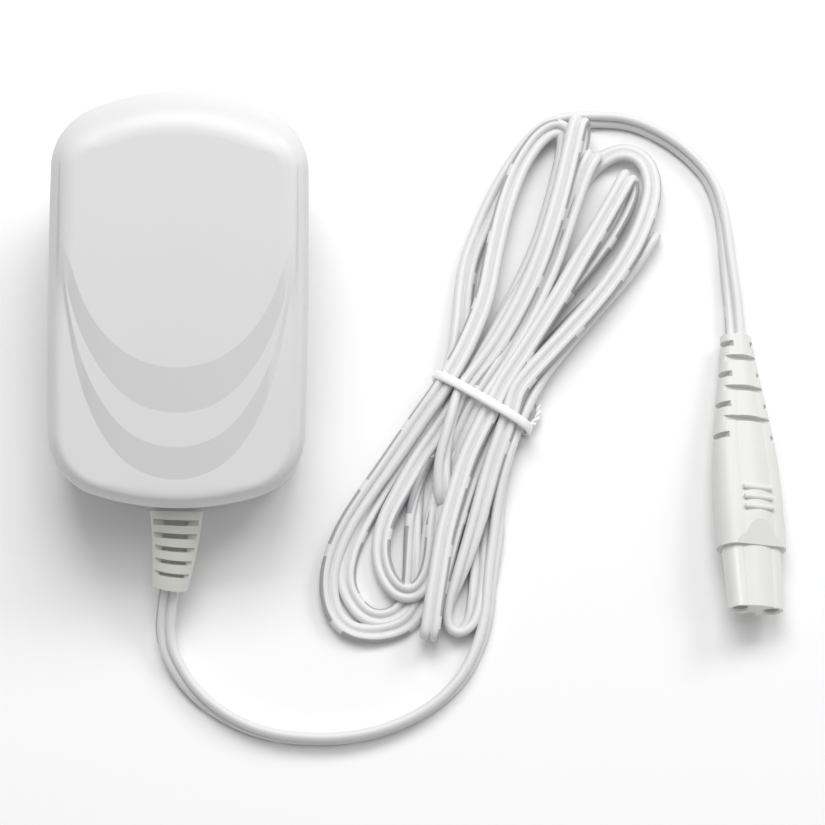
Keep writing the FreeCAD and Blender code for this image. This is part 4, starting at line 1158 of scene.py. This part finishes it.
@dataclass
class SolderJoints:
    """The solder fillets on the back of the board, one at each component's lead."""

    board_back: float = 6.4
    foot: float = 0.95
    tip: float = 0.28
    height: float = 0.75
    spread: float = 0.16
    corners: int = 16
    leads: dict = field(default_factory=lambda: {
        "input_capacitor_1": grid((-1.75, 1.75)), "input_capacitor_2": grid((-1.75, 1.75)),
        "output_capacitor": grid((-1.75, 1.75)), "input_choke": grid((-1.6, 1.6)),
        "fusible_resistor": grid((0.0,), (-5.0, 5.0)), "output_diode": grid((0.0,), (-4.3, 4.3)),
        "bridge_rectifier": grid((-3.0, 3.0), (-1.27, 1.27)),
        "controller_ic": grid((-3.6, 3.6), (-3.8, -1.27, 1.27, 3.8)),
        "optocoupler": grid((-3.2, 3.2), (-1.27, 1.27)),
        "y_capacitor": grid((0.0,), (-2.5, 2.5)), "snubber_capacitor": grid((0.0,), (-2.5, 2.5)),
        "transformer_bobbin": grid((-6.0, -2.0, 2.0, 6.0), (-5.0,)) + grid((-5.0, 5.0), (5.0,))})

    def places(self) -> list[Vector]:
        """Finds where the leads come through.

        Returns:
            The points, in metres.
        """
        seat, found = seat_of_housing(), []
        for name, offsets in self.leads.items():
            middle = middle_of(name)
            for across, along in offsets:
                spot = Vector((middle.x + across * MM, middle.y + along * MM, self.board_back * MM))
                found.append(seat @ spot)
        return found

    def build(self, material: bpy.types.Material) -> bpy.types.Object:
        """Args:
            material: the solder's finish.

        Returns:
            The joints.
        """
        spots = bpy.data.meshes.new("solder_spots")
        spots.from_pydata(self.places(), [], [])
        recipe = Recipe("solder_joints", {"Foot": self.foot * MM, "Tip": self.tip * MM,
                                          "Height": self.height * MM, "Spread": self.spread})
        cone = recipe.node("GeometryNodeMeshCone", {"fill_type": "NGON"}, {
            "Vertices": self.corners, "Side Segments": 4, "Radius Top": recipe.given("Tip"),
            "Radius Bottom": recipe.given("Foot"), "Depth": recipe.given("Height")}, "Mesh")
        spread = recipe.given("Spread")
        size = recipe.node("FunctionNodeRandomValue", {"data_type": "FLOAT"},
                           {2: 1.0 - spread, 3: 1.0 + spread, "Seed": 7}, 1)
        upside_down = (TILT + math.pi, 0.0, 0.0)
        joints = recipe.node("GeometryNodeInstanceOnPoints", None, {
            "Points": recipe.given("Geometry"), "Instance": cone, "Rotation": upside_down, "Scale": size})
        piece = make_object("solder_joints", recipe.grow(joints, spots, material), material)
        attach(piece, "root")
        LOG.info("solder joints: %d", len(spots.vertices))
        return piece


@dataclass
class ChokeWinding:
    """The copper wire wound on the input choke's waist."""

    middle_height: float = 11.8
    waist: float = 2.5
    wire: float = 0.2
    reach: float = 5.6
    steps_per_turn: int = 40

    def build(self, material: bpy.types.Material) -> bpy.types.Object:
        """Args:
            material: the wire's finish.

        Returns:
            The winding.
        """
        recipe = Recipe("choke_winding", {
            "Wire radius": self.wire * MM, "Coil radius": (self.waist + self.wire) * MM,
            "Height": self.reach * MM, "Turns": self.reach / (2 * self.wire)})
        coil = recipe.node("GeometryNodeCurveSpiral", None, {
            "Resolution": self.steps_per_turn, "Rotations": recipe.given("Turns"),
            "Start Radius": recipe.given("Coil radius"), "End Radius": recipe.given("Coil radius"),
            "Height": recipe.given("Height")})
        shape = recipe.carried(coil, recipe.circle(recipe.given("Wire radius"), 8))
        mesh = recipe.grow(shape, bpy.data.meshes.new("choke_core"), material)
        middle = middle_of("input_choke")
        foot = Vector((middle.x, middle.y, (self.middle_height - self.reach / 2) * MM))
        mesh.transform(seat_of_housing() @ Matrix.Translation(foot))
        piece = make_object("choke_winding", mesh, material)
        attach(piece, "root")
        LOG.info("choke winding: %d faces", len(mesh.polygons))
        return piece


@dataclass
class Studio:
    """The pale table, the soft lights and the camera.

    The table's and the lights' own values are in metres and watts.
    """

    target: tuple = (44.67, -8.64, 0.0)
    distance: float = 1000.0
    elevation: float = 74.9
    roll: float = 0.763
    lens: float = 224.7
    sensor: float = 36.0
    table_half: float = 3.0
    room_light: float = 0.369
    aim: tuple = (0.045, 0.0, 0.0)
    lamps: tuple = (
        ("window", (0.0, 0.40, 0.65), (0.5, 0.3), 2.75),
        ("side", (0.85, 0.85, 0.95), (0.5, 0.5), 5.89),
        ("fill", (1.25, 0.05, 0.9), (0.5, 0.6), 1.19),
        ("ceiling", (0.05, 0.35, 1.5), (0.7, 0.7), 5.19))

    def camera(self) -> bpy.types.Object:
        """Sets up the camera.

        Returns:
            The camera.
        """
        data = bpy.data.cameras.new("camera")
        data.lens = self.lens
        data.sensor_width = self.sensor
        data.clip_start, data.clip_end = 0.05, 20.0
        camera = link("camera", data)
        rise = math.radians(self.elevation)
        away = Vector((0.0, -math.cos(rise), math.sin(rise)))
        place = Matrix.Translation((Vector(self.target) + away * self.distance) * MM)
        turn = Matrix.Rotation(math.pi / 2 - rise, 4, "X") @ Matrix.Rotation(math.radians(self.roll), 4, "Z")
        camera.matrix_world = place @ turn
        bpy.context.scene.camera = camera
        return camera

    def lamp(self, name: str, place: tuple, size: tuple, power: float) -> None:
        """Adds one soft rectangular light, pointed at the part.

        Args:
            name: its name.
            place: where it hangs, in metres.
            size: its width and height, in metres.
            power: in watts.
        """
        data = bpy.data.lights.new(name, "AREA")
        data.shape = "RECTANGLE"
        data.size, data.size_y = size
        data.energy = power
        lamp = link(name, data)
        lamp.location = place
        lamp.rotation_euler = (Vector(self.aim) - Vector(place)).to_track_quat("-Z", "Y").to_euler()

    def build(self) -> None:
        """Lays the table and hangs the lights."""
        scene = bpy.context.scene
        scene.view_settings.view_transform = "Standard"
        mesh = bpy.data.meshes.new("table")
        half = self.table_half
        mesh.from_pydata([(-half, -half, 0), (half, -half, 0), (half, half, 0), (-half, half, 0)], [],
                         [(0, 1, 2, 3)])
        table = make_object("table", mesh, Table().dress("table_finish"))
        world = bpy.data.worlds.new("room")
        world.use_nodes = True
        room = world.node_tree.nodes["Background"]
        room.inputs["Color"].default_value = (1.0, 1.0, 1.0, 1.0)
        room.inputs["Strength"].default_value = self.room_light
        scene.world = world
        for row in self.lamps:
            self.lamp(*row)
        self.camera()


def dress_nodes(frame: dict, finishes: dict[str, bpy.types.Material]) -> None:
    """Gives every solid of the frame the finish of its slot.

    Args:
        frame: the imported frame.
        finishes: a material for each slot.
    """
    slots = {row["node"]: row["material_slot"] for row in frame["record"]["subparts"]}
    for name, solid in frame["nodes"].items():
        for place in solid.material_slots:
            place.material = finishes[slots[name]]
        LOG.info("dressed %s in %s", name, slots[name])


def main() -> None:
    """Builds the scene in order and reports each piece."""
    logging.basicConfig(level=logging.INFO, format="%(name)s %(message)s")
    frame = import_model()
    finishes = build_finishes()
    Studio().build()
    dress_nodes(frame, finishes)
    cord = TwinCord()
    tie = TwistTie().build(cord, finishes["tie"])
    nodes = frame["nodes"]
    on_cord = [nodes[name] for name in ("connector_body", "connector_nose",
                                        "contact_sleeve_left", "contact_sleeve_right")]
    cord.build(finishes["cord_jacket"], on_cord + [tie])
    SolderJoints().build(finishes["contact_metal"])
    ChokeWinding().build(finishes["copper"])


if __name__ == "__main__":
    main()
